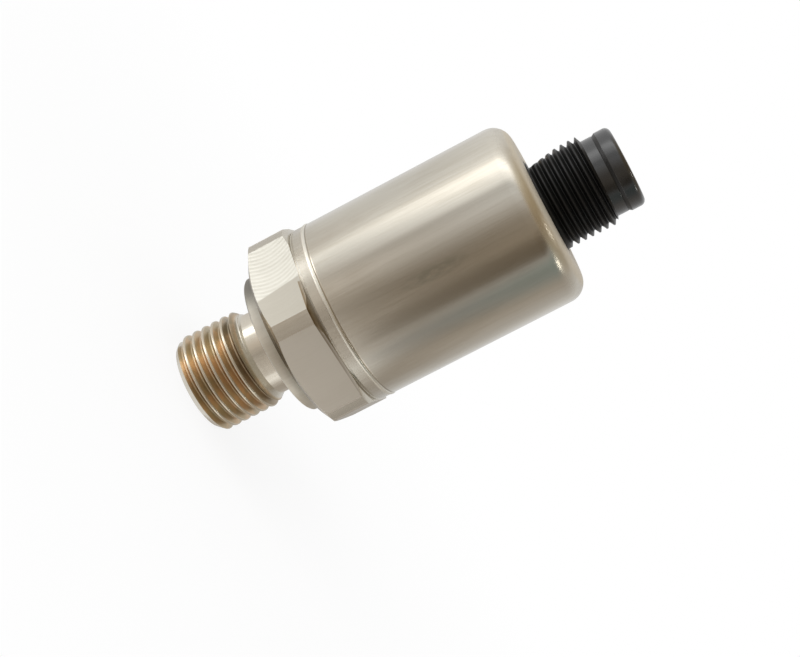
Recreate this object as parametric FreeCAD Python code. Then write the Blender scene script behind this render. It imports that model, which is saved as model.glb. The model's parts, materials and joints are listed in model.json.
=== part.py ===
import FreeCAD, Part
import math
import os

# Pressure transmitter: a turned stainless process connection with a hexagon carries a ceramic
# pressure cell in a pocket, under a deep-drawn can that holds the circuit and the plug connector.
# Millimetres.  +Z runs along the axis from the process thread to the connector, and the origin is
# the centre of the stud's front face, which the transmitter stands on.

# ---- process stud ---------------------------------------------------------------------------
STUD_LENGTH = 12.0              # front face to sealing face
STUD_THREAD_R = 6.5785          # G 1/4, over the crests
STUD_NOSE_R = 5.8               # front face
STUD_NOSE_LENGTH = 0.9          # lead-in chamfer
UNDERCUT_R = 5.56
UNDERCUT_LENGTH = 2.7           # parallel part, up to the sealing face
UNDERCUT_RAMP = 0.7             # slope from the thread down to the undercut
UNDERCUT_FILLET = 0.35
PRESSURE_BORE_R = 2.0
PRESSURE_BORE_CHAMFER = 0.4

# ---- sealing shoulder, hexagon and collar ---------------------------------------------------
SHOULDER_R = 9.35
SHOULDER_THICKNESS = 1.5
SHOULDER_CHAMFER = 0.15
NECK_DEPTH = 0.45               # relief between shoulder and hexagon
NECK_LENGTH = 0.4
HEX_CORNER_CUT = 0.6            # turned off the sharp corners
HEX_LENGTH = 6.7
HEX_FRONT_LAND_INSET = 0.7      # from the flats in to the front chamfer
HEX_CHAMFER_ANGLE = 30.0        # degrees from the face
COLLAR_LENGTH = 1.15

# ---- can ------------------------------------------------------------------------------------
CAN_R = 12.0                    # the hexagon's flats lie flush with the can
CAN_LENGTH = 28.25
CAN_WALL = 0.7
CAN_CORNER_R = 2.6
CAN_INNER_CORNER_STEPS = 3      # straights in the hidden corner
CAN_RIM_LENGTH = 0.45           # upset rim over the joint with the collar
CAN_RIM_HEIGHT = 0.1
SPIGOT_CLEARANCE = 0.05

# ---- ceramic pressure cell and what clamps it -----------------------------------------------
CELL_FLOOR_HEIGHT = 5.0         # sealing face to the pocket's floor
CELL_R = 9.0
CELL_HEIGHT = 6.35
CELL_CLEARANCE = 0.1
DIAPHRAGM_THICKNESS = 0.6
CELL_CAVITY_R = 5.2
CELL_CAVITY_DEPTH = 0.25
CELL_VENT_R = 0.5
CELL_NOTCH_R = 0.9
CELL_NOTCH_COUNT = 3
FLOOR_RECESS_DEPTH = 0.4        # lets the diaphragm move
FLOOR_RECESS_LAND = 0.7         # between the recess and the seal groove
CELL_SEAL_MID_R = 5.9
CELL_SEAL_SECTION = 1.78
SEAL_SQUEEZE = 0.24             # share of the section taken up when clamped
SEAL_SIDE_CLEARANCE = 0.2
SEAL_FLANK_STEPS = 4            # straights in each round flank
CLAMP_RING_WIDTH = 2.0          # from the rim of the cell inwards
CLAMP_RING_THICKNESS = 1.5
SNAP_RING_THICKNESS = 1.0
SNAP_RING_WIDTH = 1.4
SNAP_RING_GROOVE_DEPTH = 0.5
SNAP_RING_PLAY = 0.05
SNAP_RING_GAP_ANGLE = 50.0
SNAP_RING_EAR_R = 1.25
SNAP_RING_EAR_HOLE_R = 0.6
SPIGOT_LAND = 1.0               # above the snap ring

# ---- plug connector -------------------------------------------------------------------------
CONNECTOR_THREAD_R = 5.985      # M12 x 1, over the crests
CONNECTOR_THREAD_LENGTH = 7.0
PILOT_STEP = 0.265              # past the thread's crests, which pass through the can's hole
PILOT_CLEARANCE = 0.08          # pilot to the hole of the can
THREAD_END_RAMP = 0.35
NOSE_R = 5.17
NOSE_LENGTH = 1.75
NOSE_RIM_R = 5.35
NOSE_RIM_LENGTH = 2.1
NOSE_RIM_ROUND = 0.6
NOSE_STEP_RAMP = 0.15
SOCKET_R = 4.3
SOCKET_DEPTH = 8.2
KEY_WIDTH = 1.2
KEY_HEIGHT = 0.55
FLANGE_THICKNESS = 1.9
FLANGE_EDGE_CLEARANCE = 0.1
FLANGE_SEAL_LAND = 0.25         # from the hole of the can out to the seal's groove
FLANGE_SEAL_SECTION = 1.2
CARRIER_CLEARANCE = 0.05
CARRIER_FLANGE_R = 5.2
CARRIER_FLANGE_THICKNESS = 1.2
CONTACT_COUNT = 4
CONTACT_CIRCLE_R = 2.5
CONTACT_R = 0.5
CONTACT_TIP_RECESS = 1.4
CONTACT_TIP_ROUND = 0.35
CONTACT_SHOULDER_R = 0.85
CONTACT_SHOULDER_THICKNESS = 0.8
CONTACT_TAIL = 0.8              # solder tail below the contact board

# ---- insulating sleeve and circuit ----------------------------------------------------------
SLEEVE_CLEARANCE = 0.1
SLEEVE_WALL = 1.1
SLEEVE_LIP_WIDTH = 1.5
SLEEVE_LIP_HEIGHT = 1.2
SLEEVE_EDGE_CHAMFER = 0.3
GUIDE_DEPTH = 1.3
GUIDE_WIDTH = 1.0
BOARD_THICKNESS = 1.0
BOARD_PLAY = 0.05               # each side, in guides and slots
BOARD_EDGE_GAP = 0.2
BOARD_FOOT_GAP = 0.6            # over the spigot
BOARD_HEAD_GAP = 0.6            # under the contact board
TONGUE_WIDTH = 6.0
TONGUE_PROUD = 0.4              # above the contact board
CONTACT_BOARD_EDGE_GAP = 0.3
CELL_PIN_COUNT = 4
CELL_PIN_PITCH = 2.54
CELL_PIN_WIDTH = 0.5
CELL_PIN_OVERLAP = 3.4          # length soldered to the board
CHIP_LENGTH = 5.0
CHIP_WIDTH = 4.0
CHIP_THICKNESS = 1.4
CHIP_STANDOFF = 0.15
CHIP_EDGE = 0.2
CHIP_HEIGHT = 9.6               # from the board's foot to the chip's centre
LEAD_COUNT = 4                  # on each side of the chip
LEAD_PITCH = 1.27
LEAD_WIDTH = 0.4
LEAD_GAUGE = 0.2
LEAD_REACH = 1.05
LEAD_FOOT = 0.55
SMALL_PART_LENGTH = 1.6
SMALL_PART_WIDTH = 0.8
CAPACITOR_HEIGHT = 0.8
RESISTOR_HEIGHT = 0.5
SMALL_PART_COUNT = 4
SMALL_PART_PITCH = 2.6
CAPACITOR_ROW_HEIGHT = 5.4      # from the board's foot to the row
RESISTOR_ROW_HEIGHT = 8.8
DIODE_LENGTH = 4.3
DIODE_WIDTH = 2.6
DIODE_THICKNESS = 2.0
DIODE_HEIGHT = 12.6             # from the board's foot to the diode's centre
MOULDED_EDGE = 0.15

# ---- places worked out from the sizes above -------------------------------------------------
SEAL_FACE_Z = STUD_LENGTH
HEX_SHARP_R = CAN_R / math.cos(math.pi / 6)
HEX_TURNED_R = HEX_SHARP_R - HEX_CORNER_CUT
HEX_FRONT_LAND_R = CAN_R - HEX_FRONT_LAND_INSET
NECK_Z = SEAL_FACE_Z + SHOULDER_THICKNESS
HEX_Z = NECK_Z + NECK_LENGTH
COLLAR_Z = HEX_Z + HEX_LENGTH
CAN_Z = COLLAR_Z + COLLAR_LENGTH
CAN_TOP_Z = CAN_Z + CAN_LENGTH
CAN_CEILING_Z = CAN_TOP_Z - CAN_WALL
CAN_BORE_R = CAN_R - CAN_WALL
CAN_INNER_CORNER_R = CAN_CORNER_R - CAN_WALL

FLOOR_Z = SEAL_FACE_Z + CELL_FLOOR_HEIGHT
POCKET_R = CELL_R + CELL_CLEARANCE
CELL_TOP_Z = FLOOR_Z + CELL_HEIGHT
CLAMP_RING_BORE_R = CELL_R - CLAMP_RING_WIDTH
CLAMP_TOP_Z = CELL_TOP_Z + CLAMP_RING_THICKNESS
SNAP_TOP_Z = CLAMP_TOP_Z + SNAP_RING_THICKNESS
SPIGOT_TOP_Z = SNAP_TOP_Z + SPIGOT_LAND
SPIGOT_R = CAN_BORE_R - SPIGOT_CLEARANCE
SNAP_GROOVE_R = POCKET_R + SNAP_RING_GROOVE_DEPTH

PILOT_R = CONNECTOR_THREAD_R + PILOT_STEP
CAN_HOLE_R = PILOT_R + PILOT_CLEARANCE
FLANGE_Z = CAN_CEILING_Z - FLANGE_THICKNESS
FLANGE_R = CAN_BORE_R - CAN_INNER_CORNER_R - FLANGE_EDGE_CLEARANCE
CONNECTOR_THREAD_TOP_Z = CAN_TOP_Z + CONNECTOR_THREAD_LENGTH
NOSE_Z = CONNECTOR_THREAD_TOP_Z + THREAD_END_RAMP
NOSE_RIM_Z = NOSE_Z + NOSE_LENGTH
TOP_Z = NOSE_RIM_Z + NOSE_RIM_LENGTH
SOCKET_FLOOR_Z = TOP_Z - SOCKET_DEPTH
CARRIER_SEAT_Z = FLANGE_Z + CARRIER_FLANGE_THICKNESS
CONTACT_BOARD_TOP_Z = FLANGE_Z - CONTACT_SHOULDER_THICKNESS
CONTACT_BOARD_Z = CONTACT_BOARD_TOP_Z - BOARD_THICKNESS

SLEEVE_R = CAN_BORE_R - SLEEVE_CLEARANCE
SLEEVE_BORE_R = SLEEVE_R - SLEEVE_WALL
SLEEVE_LIP_R = SLEEVE_BORE_R - SLEEVE_LIP_WIDTH
BOARD_FOOT_Z = SPIGOT_TOP_Z + BOARD_FOOT_GAP
BOARD_HEAD_Z = CONTACT_BOARD_Z - BOARD_HEAD_GAP
BOARD_FACE_Y = BOARD_THICKNESS / 2

AXIS = FreeCAD.Vector(0, 0, 1)
CENTRE = FreeCAD.Vector(0, 0, 0)


# ---- helpers --------------------------------------------------------------------------------
def turned(points):
    """Revolve a closed outline of (radius, height) points about the axis."""
    corners = [FreeCAD.Vector(r, 0, z) for r, z in points]
    face = Part.Face(Part.makePolygon(corners + corners[:1]))
    return face.revolve(CENTRE, AXIS, 360)


def turned_with_arcs(pieces):
    """Revolve a closed outline whose pieces are runs of two or arcs of three (radius, height)."""
    edges = []
    for piece in pieces:
        places = [FreeCAD.Vector(r, 0, z) for r, z in piece]
        if len(places) == 2:
            edges.append(Part.makeLine(*places))
        else:
            edges.append(Part.Arc(*places).toShape())
    return Part.Face(Part.Wire(edges)).revolve(CENTRE, AXIS, 360)


def cylinder(radius, z0, z1, x=0.0, y=0.0):
    """Upright cylinder from z0 to z1."""
    return Part.makeCylinder(radius, z1 - z0, FreeCAD.Vector(x, y, z0))


def ring(outer_r, inner_r, z0, z1):
    """Plain ring from z0 to z1."""
    return turned([(inner_r, z0), (outer_r, z0), (outer_r, z1), (inner_r, z1)])


def block(x0, x1, y0, y1, z0, z1):
    """Box between two opposite corners."""
    return Part.makeBox(x1 - x0, y1 - y0, z1 - z0, FreeCAD.Vector(x0, y0, z0))


def circles(shape, radius, z):
    """Circular edges of the shape with this radius at this height."""
    found = []
    for edge in shape.Edges:
        curve = edge.Curve
        if isinstance(curve, Part.Circle) and abs(curve.Radius - radius) < 1e-4:
            if abs(curve.Center.z - z) < 1e-4:
                found.append(edge)
    return found


def about_axis(shape, degrees):
    """Copy of the shape, turned about the axis."""
    copy = shape.copy()
    copy.rotate(CENTRE, AXIS, degrees)
    return copy


def squeezed_height(section):
    """Height of a seal of this section once it is clamped."""
    return section * (1 - SEAL_SQUEEZE)


def squeezed_width(section):
    """Width of the clamped seal, which keeps the area of its round section."""
    height = squeezed_height(section)
    straight = math.pi * (section ** 2 - height ** 2) / 4 / height
    return height + straight


def groove_half_width(section):
    """Half the width of the groove for a seal of this section."""
    return squeezed_width(section) / 2 + SEAL_SIDE_CLEARANCE


def flange_seal_mid_r():
    """Middle radius of the seal in the connector's flange."""
    return CAN_HOLE_R + FLANGE_SEAL_LAND + groove_half_width(FLANGE_SEAL_SECTION)


def clamped_seal(mid_r, section, z0):
    """O-ring pressed flat between two faces, standing on z0, its round flanks in short straights."""
    half_height = squeezed_height(section) / 2
    flat = squeezed_width(section) / 2 - half_height
    outline = []
    for side, first in ((1, -90), (-1, 90)):
        for step in range(SEAL_FLANK_STEPS + 1):
            angle = math.radians(first + 180 / SEAL_FLANK_STEPS * step)
            outline.append((mid_r + side * flat + half_height * math.cos(angle),
                            z0 + half_height * (1 + math.sin(angle))))
    return turned(outline)


# ---- process connection ---------------------------------------------------------------------
def stud():
    """Threaded stud with its lead-in and undercut, the shoulder and the relief behind it."""
    undercut_z = SEAL_FACE_Z - UNDERCUT_LENGTH
    edge = SHOULDER_CHAMFER
    neck_r = SHOULDER_R - NECK_DEPTH
    body = turned([
        (0, 0), (STUD_NOSE_R, 0), (STUD_THREAD_R, STUD_NOSE_LENGTH),
        (STUD_THREAD_R, undercut_z - UNDERCUT_RAMP), (UNDERCUT_R, undercut_z),
        (UNDERCUT_R, SEAL_FACE_Z), (SHOULDER_R - edge, SEAL_FACE_Z),
        (SHOULDER_R, SEAL_FACE_Z + edge), (SHOULDER_R, NECK_Z), (neck_r, NECK_Z),
        (neck_r, HEX_Z), (0, HEX_Z),
    ])
    return body.makeFillet(UNDERCUT_FILLET, circles(body, UNDERCUT_R, SEAL_FACE_Z))


def hexagon():
    """Wrench hexagon with turned corners, chamfered at both ends."""
    slope = math.tan(math.radians(HEX_CHAMFER_ANGLE))
    front_rise = (HEX_TURNED_R - HEX_FRONT_LAND_R) * slope
    rear_rise = (HEX_TURNED_R - CAN_R) * slope
    envelope = turned([
        (0, HEX_Z), (HEX_FRONT_LAND_R, HEX_Z), (HEX_TURNED_R, HEX_Z + front_rise),
        (HEX_TURNED_R, COLLAR_Z - rear_rise), (CAN_R, COLLAR_Z), (0, COLLAR_Z),
    ])
    corners = []
    for k in range(6):
        angle = math.radians(30 + 60 * k)
        corners.append(FreeCAD.Vector(HEX_SHARP_R * math.cos(angle), HEX_SHARP_R * math.sin(angle),
                                      HEX_Z))
    prism = Part.Face(Part.makePolygon(corners + corners[:1])).extrude(AXIS * HEX_LENGTH)
    return prism.common(envelope)


def cell_pocket():
    """Space cut out of the body for the bore, the seal, the cell, its clamp and the snap ring."""
    half = groove_half_width(CELL_SEAL_SECTION)
    groove_z = FLOOR_Z - squeezed_height(CELL_SEAL_SECTION)
    recess_r = CELL_SEAL_MID_R - half - FLOOR_RECESS_LAND
    recess_z = FLOOR_Z - FLOOR_RECESS_DEPTH
    flare = PRESSURE_BORE_CHAMFER
    bore = turned([
        (0, 0), (PRESSURE_BORE_R + flare, 0), (PRESSURE_BORE_R, flare),
        (PRESSURE_BORE_R, recess_z), (recess_r, recess_z), (recess_r, FLOOR_Z), (0, FLOOR_Z),
    ])
    seal_groove = ring(CELL_SEAL_MID_R + half, CELL_SEAL_MID_R - half, groove_z, FLOOR_Z)
    pocket = cylinder(POCKET_R, FLOOR_Z, SPIGOT_TOP_Z)
    snap_groove = ring(SNAP_GROOVE_R, CLAMP_RING_BORE_R, CLAMP_TOP_Z - SNAP_RING_PLAY, SNAP_TOP_Z)
    return bore.fuse([seal_groove, pocket, snap_groove])


def port_body():
    """One turned and milled piece: stud, shoulder, hexagon, collar and spigot."""
    collar = cylinder(CAN_R, COLLAR_Z, CAN_Z)
    spigot = cylinder(SPIGOT_R, CAN_Z, SPIGOT_TOP_Z)
    solid = stud().fuse([hexagon(), collar, spigot]).removeSplitter()
    return solid.cut(cell_pocket())


# ---- pressure cell --------------------------------------------------------------------------
def sensor_o_ring():
    """Seal between the pocket's floor and the diaphragm."""
    groove_z = FLOOR_Z - squeezed_height(CELL_SEAL_SECTION)
    return clamped_seal(CELL_SEAL_MID_R, CELL_SEAL_SECTION, groove_z)


def cell_notches(z0, z1):
    """Locating notches round the rim of the cell."""
    notches = []
    for k in range(CELL_NOTCH_COUNT):
        angle = math.radians(90 + 360 / CELL_NOTCH_COUNT * k)
        x, y = CELL_R * math.cos(angle), CELL_R * math.sin(angle)
        notches.append(cylinder(CELL_NOTCH_R, z0, z1, x, y))
    return notches


def sensor_diaphragm():
    """Thin ceramic diaphragm, flush on the floor of the pocket."""
    return cylinder(CELL_R, FLOOR_Z, FLOOR_Z + DIAPHRAGM_THICKNESS)


def sensor_base():
    """Thick ceramic base with a shallow cavity behind the diaphragm, a vent and rim notches."""
    base_z = FLOOR_Z + DIAPHRAGM_THICKNESS
    base = cylinder(CELL_R, base_z, CELL_TOP_Z)
    cavity = cylinder(CELL_CAVITY_R, base_z, base_z + CELL_CAVITY_DEPTH)
    vent_y = CELL_CAVITY_R - 2 * CELL_VENT_R
    vent = cylinder(CELL_VENT_R, base_z, CELL_TOP_Z, 0, vent_y)
    return base.cut([cavity, vent] + cell_notches(base_z, CELL_TOP_Z))


def clamp_ring():
    """Ring that presses the cell onto its seal."""
    return ring(CELL_R, CLAMP_RING_BORE_R, CELL_TOP_Z, CLAMP_TOP_Z)


def snap_ring():
    """Open retaining ring with two plier eyes, sprung into the groove of the spigot."""
    outer_r = SNAP_GROOVE_R - SNAP_RING_PLAY
    inner_r = outer_r - SNAP_RING_WIDTH
    half_gap = math.radians(SNAP_RING_GAP_ANGLE / 2)
    reach = 2 * outer_r
    wedge_corners = [FreeCAD.Vector(0, 0, CLAMP_TOP_Z)]
    for side in (-1, 1):
        x, y = side * reach * math.sin(half_gap), reach * math.cos(half_gap)
        wedge_corners.append(FreeCAD.Vector(x, y, CLAMP_TOP_Z))
    wedge_face = Part.Face(Part.makePolygon(wedge_corners + wedge_corners[:1]))
    solid = ring(outer_r, inner_r, CLAMP_TOP_Z, SNAP_TOP_Z)
    solid = solid.cut(wedge_face.extrude(AXIS * SNAP_RING_THICKNESS))
    ear_r = inner_r - SNAP_RING_EAR_R / 2
    ear_angle = half_gap + SNAP_RING_EAR_R / ear_r
    holes = []
    for side in (-1, 1):
        x, y = side * ear_r * math.sin(ear_angle), ear_r * math.cos(ear_angle)
        solid = solid.fuse(cylinder(SNAP_RING_EAR_R, CLAMP_TOP_Z, SNAP_TOP_Z, x, y))
        holes.append(cylinder(SNAP_RING_EAR_HOLE_R, CLAMP_TOP_Z, SNAP_TOP_Z, x, y))
    return solid.cut(holes).removeSplitter()


def sensor_pins():
    """Row of square pins from the cell up one face of the main board."""
    pins = []
    first_x = -CELL_PIN_PITCH * (CELL_PIN_COUNT - 1) / 2
    y1 = -BOARD_FACE_Y
    for k in range(CELL_PIN_COUNT):
        x = first_x + k * CELL_PIN_PITCH
        half = CELL_PIN_WIDTH / 2
        top = BOARD_FOOT_Z + CELL_PIN_OVERLAP
        pins.append(block(x - half, x + half, y1 - CELL_PIN_WIDTH, y1, CELL_TOP_Z, top))
    return Part.makeCompound(pins)


# ---- can ------------------------------------------------------------------------------------
def housing_can():
    """Deep-drawn can with a rounded closed end, pierced for the connector, and an upset rim."""
    outside = cylinder(CAN_R, CAN_Z, CAN_TOP_Z)
    outside = outside.makeFillet(CAN_CORNER_R, circles(outside, CAN_R, CAN_TOP_Z))
    corner = []
    for step in range(CAN_INNER_CORNER_STEPS + 1):
        angle = math.radians(90 / CAN_INNER_CORNER_STEPS * step)
        corner.append((CAN_BORE_R - CAN_INNER_CORNER_R * (1 - math.cos(angle)),
                       CAN_CEILING_Z - CAN_INNER_CORNER_R * (1 - math.sin(angle))))
    inside = turned([(0, CAN_Z), (CAN_BORE_R, CAN_Z)] + corner + [(0, CAN_CEILING_Z)])
    rim_top_z = CAN_Z + CAN_RIM_LENGTH
    blend = CAN_RIM_HEIGHT
    mid_r = CAN_R - CAN_WALL / 2
    rim = turned([
        (mid_r, CAN_Z), (CAN_R, CAN_Z), (CAN_R + CAN_RIM_HEIGHT, CAN_Z + blend),
        (CAN_R + CAN_RIM_HEIGHT, rim_top_z - blend), (CAN_R, rim_top_z), (mid_r, rim_top_z),
    ])
    hole = cylinder(CAN_HOLE_R, CAN_CEILING_Z, CAN_TOP_Z)
    return outside.fuse(rim).removeSplitter().cut([inside, hole])


# ---- plug connector -------------------------------------------------------------------------
def connector_shell():
    """Moulded shell: flange, pilot, threaded barrel, plain nose, keyed socket and carrier seat."""
    half = groove_half_width(FLANGE_SEAL_SECTION)
    mid_r = flange_seal_mid_r()
    groove_z = CAN_CEILING_Z - squeezed_height(FLANGE_SEAL_SECTION)
    shell = turned([
        (0, FLANGE_Z), (FLANGE_R, FLANGE_Z), (FLANGE_R, CAN_CEILING_Z),
        (mid_r + half, CAN_CEILING_Z), (mid_r + half, groove_z),
        (mid_r - half, groove_z), (mid_r - half, CAN_CEILING_Z),
        (PILOT_R, CAN_CEILING_Z), (PILOT_R, CAN_TOP_Z), (CONNECTOR_THREAD_R, CAN_TOP_Z),
        (CONNECTOR_THREAD_R, CONNECTOR_THREAD_TOP_Z),
        (NOSE_R, NOSE_Z), (NOSE_R, NOSE_RIM_Z), (NOSE_RIM_R, NOSE_RIM_Z + NOSE_STEP_RAMP),
        (NOSE_RIM_R, TOP_Z), (0, TOP_Z),
    ])
    shell = shell.makeFillet(NOSE_RIM_ROUND, circles(shell, NOSE_RIM_R, TOP_Z))
    seat_r = CARRIER_FLANGE_R + CARRIER_CLEARANCE
    seat = cylinder(seat_r, FLANGE_Z, CARRIER_SEAT_Z)
    key = block(-KEY_WIDTH / 2, KEY_WIDTH / 2, SOCKET_R - KEY_HEIGHT, SOCKET_R + KEY_HEIGHT,
                SOCKET_FLOOR_Z, TOP_Z - NOSE_RIM_ROUND)
    socket = cylinder(SOCKET_R, FLANGE_Z, TOP_Z).cut(key)
    return shell.cut([seat, socket])


def contact_places():
    """Centres of the contacts on their circle."""
    places = []
    for k in range(CONTACT_COUNT):
        angle = math.radians(45 + 360 / CONTACT_COUNT * k)
        places.append((CONTACT_CIRCLE_R * math.cos(angle), CONTACT_CIRCLE_R * math.sin(angle)))
    return places


def contact_carrier():
    """Insert that holds the contacts, pushed into the shell from inside up to its flange."""
    body_r = SOCKET_R - CARRIER_CLEARANCE
    carrier = turned([
        (0, FLANGE_Z), (CARRIER_FLANGE_R, FLANGE_Z), (CARRIER_FLANGE_R, CARRIER_SEAT_Z),
        (body_r, CARRIER_SEAT_Z), (body_r, SOCKET_FLOOR_Z), (0, SOCKET_FLOOR_Z),
    ])
    return carrier.cut([cylinder(CONTACT_R, FLANGE_Z, SOCKET_FLOOR_Z, x, y)
                        for x, y in contact_places()])


def contact_pin(x, y):
    """Round contact with a rounded tip, a shoulder under the carrier and a solder tail."""
    tip_z = TOP_Z - CONTACT_TIP_RECESS
    tail_z = CONTACT_BOARD_Z - CONTACT_TAIL
    flat_r = CONTACT_R - CONTACT_TIP_ROUND
    round_z = tip_z - CONTACT_TIP_ROUND
    slant = CONTACT_TIP_ROUND * math.sqrt(0.5)
    pin = turned_with_arcs([
        [(0, tail_z), (CONTACT_R, tail_z)],
        [(CONTACT_R, tail_z), (CONTACT_R, CONTACT_BOARD_TOP_Z)],
        [(CONTACT_R, CONTACT_BOARD_TOP_Z), (CONTACT_SHOULDER_R, CONTACT_BOARD_TOP_Z)],
        [(CONTACT_SHOULDER_R, CONTACT_BOARD_TOP_Z), (CONTACT_SHOULDER_R, FLANGE_Z)],
        [(CONTACT_SHOULDER_R, FLANGE_Z), (CONTACT_R, FLANGE_Z)],
        [(CONTACT_R, FLANGE_Z), (CONTACT_R, round_z)],
        [(CONTACT_R, round_z), (flat_r + slant, round_z + slant), (flat_r, tip_z)],
        [(flat_r, tip_z), (0, tip_z)],
        [(0, tip_z), (0, tail_z)],
    ])
    pin.translate(FreeCAD.Vector(x, y, 0))
    return pin


def connector_o_ring():
    """Seal in the flange, against the closed end of the can."""
    groove_z = CAN_CEILING_Z - squeezed_height(FLANGE_SEAL_SECTION)
    return clamped_seal(flange_seal_mid_r(), FLANGE_SEAL_SECTION, groove_z)


# ---- sleeve and circuit ---------------------------------------------------------------------
def insulating_sleeve():
    """Sleeve from the spigot to the connector flange, with a lip and two pairs of board guides."""
    overhang = max(0.0, CAN_INNER_CORNER_R - FLANGE_THICKNESS)
    chamfer = SLEEVE_EDGE_CHAMFER + overhang
    lip_z = FLANGE_Z - SLEEVE_LIP_HEIGHT
    sleeve = turned([
        (SLEEVE_BORE_R, SPIGOT_TOP_Z), (SLEEVE_R, SPIGOT_TOP_Z), (SLEEVE_R, FLANGE_Z - chamfer),
        (SLEEVE_R - chamfer, FLANGE_Z), (SLEEVE_LIP_R, FLANGE_Z), (SLEEVE_LIP_R, lip_z),
        (SLEEVE_BORE_R, lip_z),
    ])
    slot_half = BOARD_FACE_Y + BOARD_PLAY
    limit = cylinder((SLEEVE_BORE_R + SLEEVE_R) / 2, SPIGOT_TOP_Z, lip_z)
    guides = []
    for side in (0, 180):
        for low, high in ((slot_half, slot_half + GUIDE_WIDTH), (-slot_half - GUIDE_WIDTH, -slot_half)):
            guide = block(SLEEVE_BORE_R - GUIDE_DEPTH, SLEEVE_R, low, high, SPIGOT_TOP_Z, lip_z)
            guides.append(about_axis(guide, side).common(limit))
    return sleeve.fuse(guides).removeSplitter()


def contact_board():
    """Round board soldered to the contacts, slotted for the tongue of the main board."""
    radius = SLEEVE_LIP_R - CONTACT_BOARD_EDGE_GAP
    board = cylinder(radius, CONTACT_BOARD_Z, CONTACT_BOARD_TOP_Z)
    half_x = TONGUE_WIDTH / 2 + BOARD_PLAY
    half_y = BOARD_FACE_Y + BOARD_PLAY
    slot = block(-half_x, half_x, -half_y, half_y, CONTACT_BOARD_Z, CONTACT_BOARD_TOP_Z)
    holes = [cylinder(CONTACT_R, CONTACT_BOARD_Z, CONTACT_BOARD_TOP_Z, x, y)
             for x, y in contact_places()]
    return board.cut([slot] + holes)


def main_board():
    """Upright board in the guides of the sleeve, with a tongue through the contact board."""
    half_x = SLEEVE_BORE_R - BOARD_EDGE_GAP
    plate = block(-half_x, half_x, -BOARD_FACE_Y, BOARD_FACE_Y, BOARD_FOOT_Z, BOARD_HEAD_Z)
    tongue = block(-TONGUE_WIDTH / 2, TONGUE_WIDTH / 2, -BOARD_FACE_Y, BOARD_FACE_Y,
                   BOARD_HEAD_Z, CONTACT_BOARD_TOP_Z + TONGUE_PROUD)
    return plate.fuse(tongue).removeSplitter()


def soft_edged(solid, edge):
    """Box with all its edges broken."""
    return solid.makeChamfer(edge, solid.Edges)


def amplifier_chip():
    """Moulded body of the amplifier, held off the board by its leads."""
    z = BOARD_FOOT_Z + CHIP_HEIGHT
    y0 = BOARD_FACE_Y + CHIP_STANDOFF
    body = block(-CHIP_WIDTH / 2, CHIP_WIDTH / 2, y0, y0 + CHIP_THICKNESS,
                 z - CHIP_LENGTH / 2, z + CHIP_LENGTH / 2)
    return soft_edged(body, CHIP_EDGE)


def amplifier_leads():
    """Gull-wing leads along both sides of the amplifier."""
    centre_z = BOARD_FOOT_Z + CHIP_HEIGHT
    top = BOARD_FACE_Y + CHIP_STANDOFF + (CHIP_THICKNESS + LEAD_GAUGE) / 2
    foot = BOARD_FACE_Y
    root_x = CHIP_WIDTH / 2
    tip_x = root_x + LEAD_REACH
    bend_x = tip_x - LEAD_FOOT
    outline = [
        (root_x, top), (bend_x, top), (bend_x, foot + LEAD_GAUGE), (tip_x, foot + LEAD_GAUGE),
        (tip_x, foot), (bend_x - LEAD_GAUGE, foot), (bend_x - LEAD_GAUGE, top - LEAD_GAUGE),
        (root_x, top - LEAD_GAUGE),
    ]
    leads = []
    for k in range(LEAD_COUNT):
        z = centre_z + (k - (LEAD_COUNT - 1) / 2) * LEAD_PITCH - LEAD_WIDTH / 2
        for side in (-1, 1):
            corners = [FreeCAD.Vector(side * x, y, z) for x, y in outline]
            face = Part.Face(Part.makePolygon(corners + corners[:1]))
            leads.append(face.extrude(AXIS * LEAD_WIDTH))
    return Part.makeCompound(leads)


def small_parts(row_height, thickness):
    """Row of small chip components on the back of the main board."""
    parts = []
    z = BOARD_FOOT_Z + row_height
    y1 = -BOARD_FACE_Y
    for k in range(SMALL_PART_COUNT):
        x = (k - (SMALL_PART_COUNT - 1) / 2) * SMALL_PART_PITCH
        body = block(x - SMALL_PART_WIDTH / 2, x + SMALL_PART_WIDTH / 2, y1 - thickness, y1,
                     z - SMALL_PART_LENGTH / 2, z + SMALL_PART_LENGTH / 2)
        parts.append(soft_edged(body, MOULDED_EDGE / 2))
    return Part.makeCompound(parts)


def suppressor_diode():
    """Surge suppressor on the back of the main board."""
    z = BOARD_FOOT_Z + DIODE_HEIGHT
    y1 = -BOARD_FACE_Y
    body = block(-DIODE_LENGTH / 2, DIODE_LENGTH / 2, y1 - DIODE_THICKNESS, y1,
                 z - DIODE_WIDTH / 2, z + DIODE_WIDTH / 2)
    return soft_edged(body, MOULDED_EDGE)


def all_nodes():
    """Every piece of the transmitter by name."""
    nodes = {
        "port_body": port_body(),
        "sensor_o_ring": sensor_o_ring(),
        "sensor_diaphragm": sensor_diaphragm(),
        "sensor_base": sensor_base(),
        "sensor_pins": sensor_pins(),
        "clamp_ring": clamp_ring(),
        "snap_ring": snap_ring(),
        "housing_can": housing_can(),
        "connector_shell": connector_shell(),
        "connector_o_ring": connector_o_ring(),
        "contact_carrier": contact_carrier(),
        "insulating_sleeve": insulating_sleeve(),
        "contact_board": contact_board(),
        "main_board": main_board(),
        "amplifier_chip": amplifier_chip(),
        "amplifier_leads": amplifier_leads(),
        "chip_capacitors": small_parts(CAPACITOR_ROW_HEIGHT, CAPACITOR_HEIGHT),
        "chip_resistors": small_parts(RESISTOR_ROW_HEIGHT, RESISTOR_HEIGHT),
        "suppressor_diode": suppressor_diode(),
    }
    for number, (x, y) in enumerate(contact_places(), 1):
        nodes["contact_pin_%d" % number] = contact_pin(x, y)
    return nodes


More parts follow.
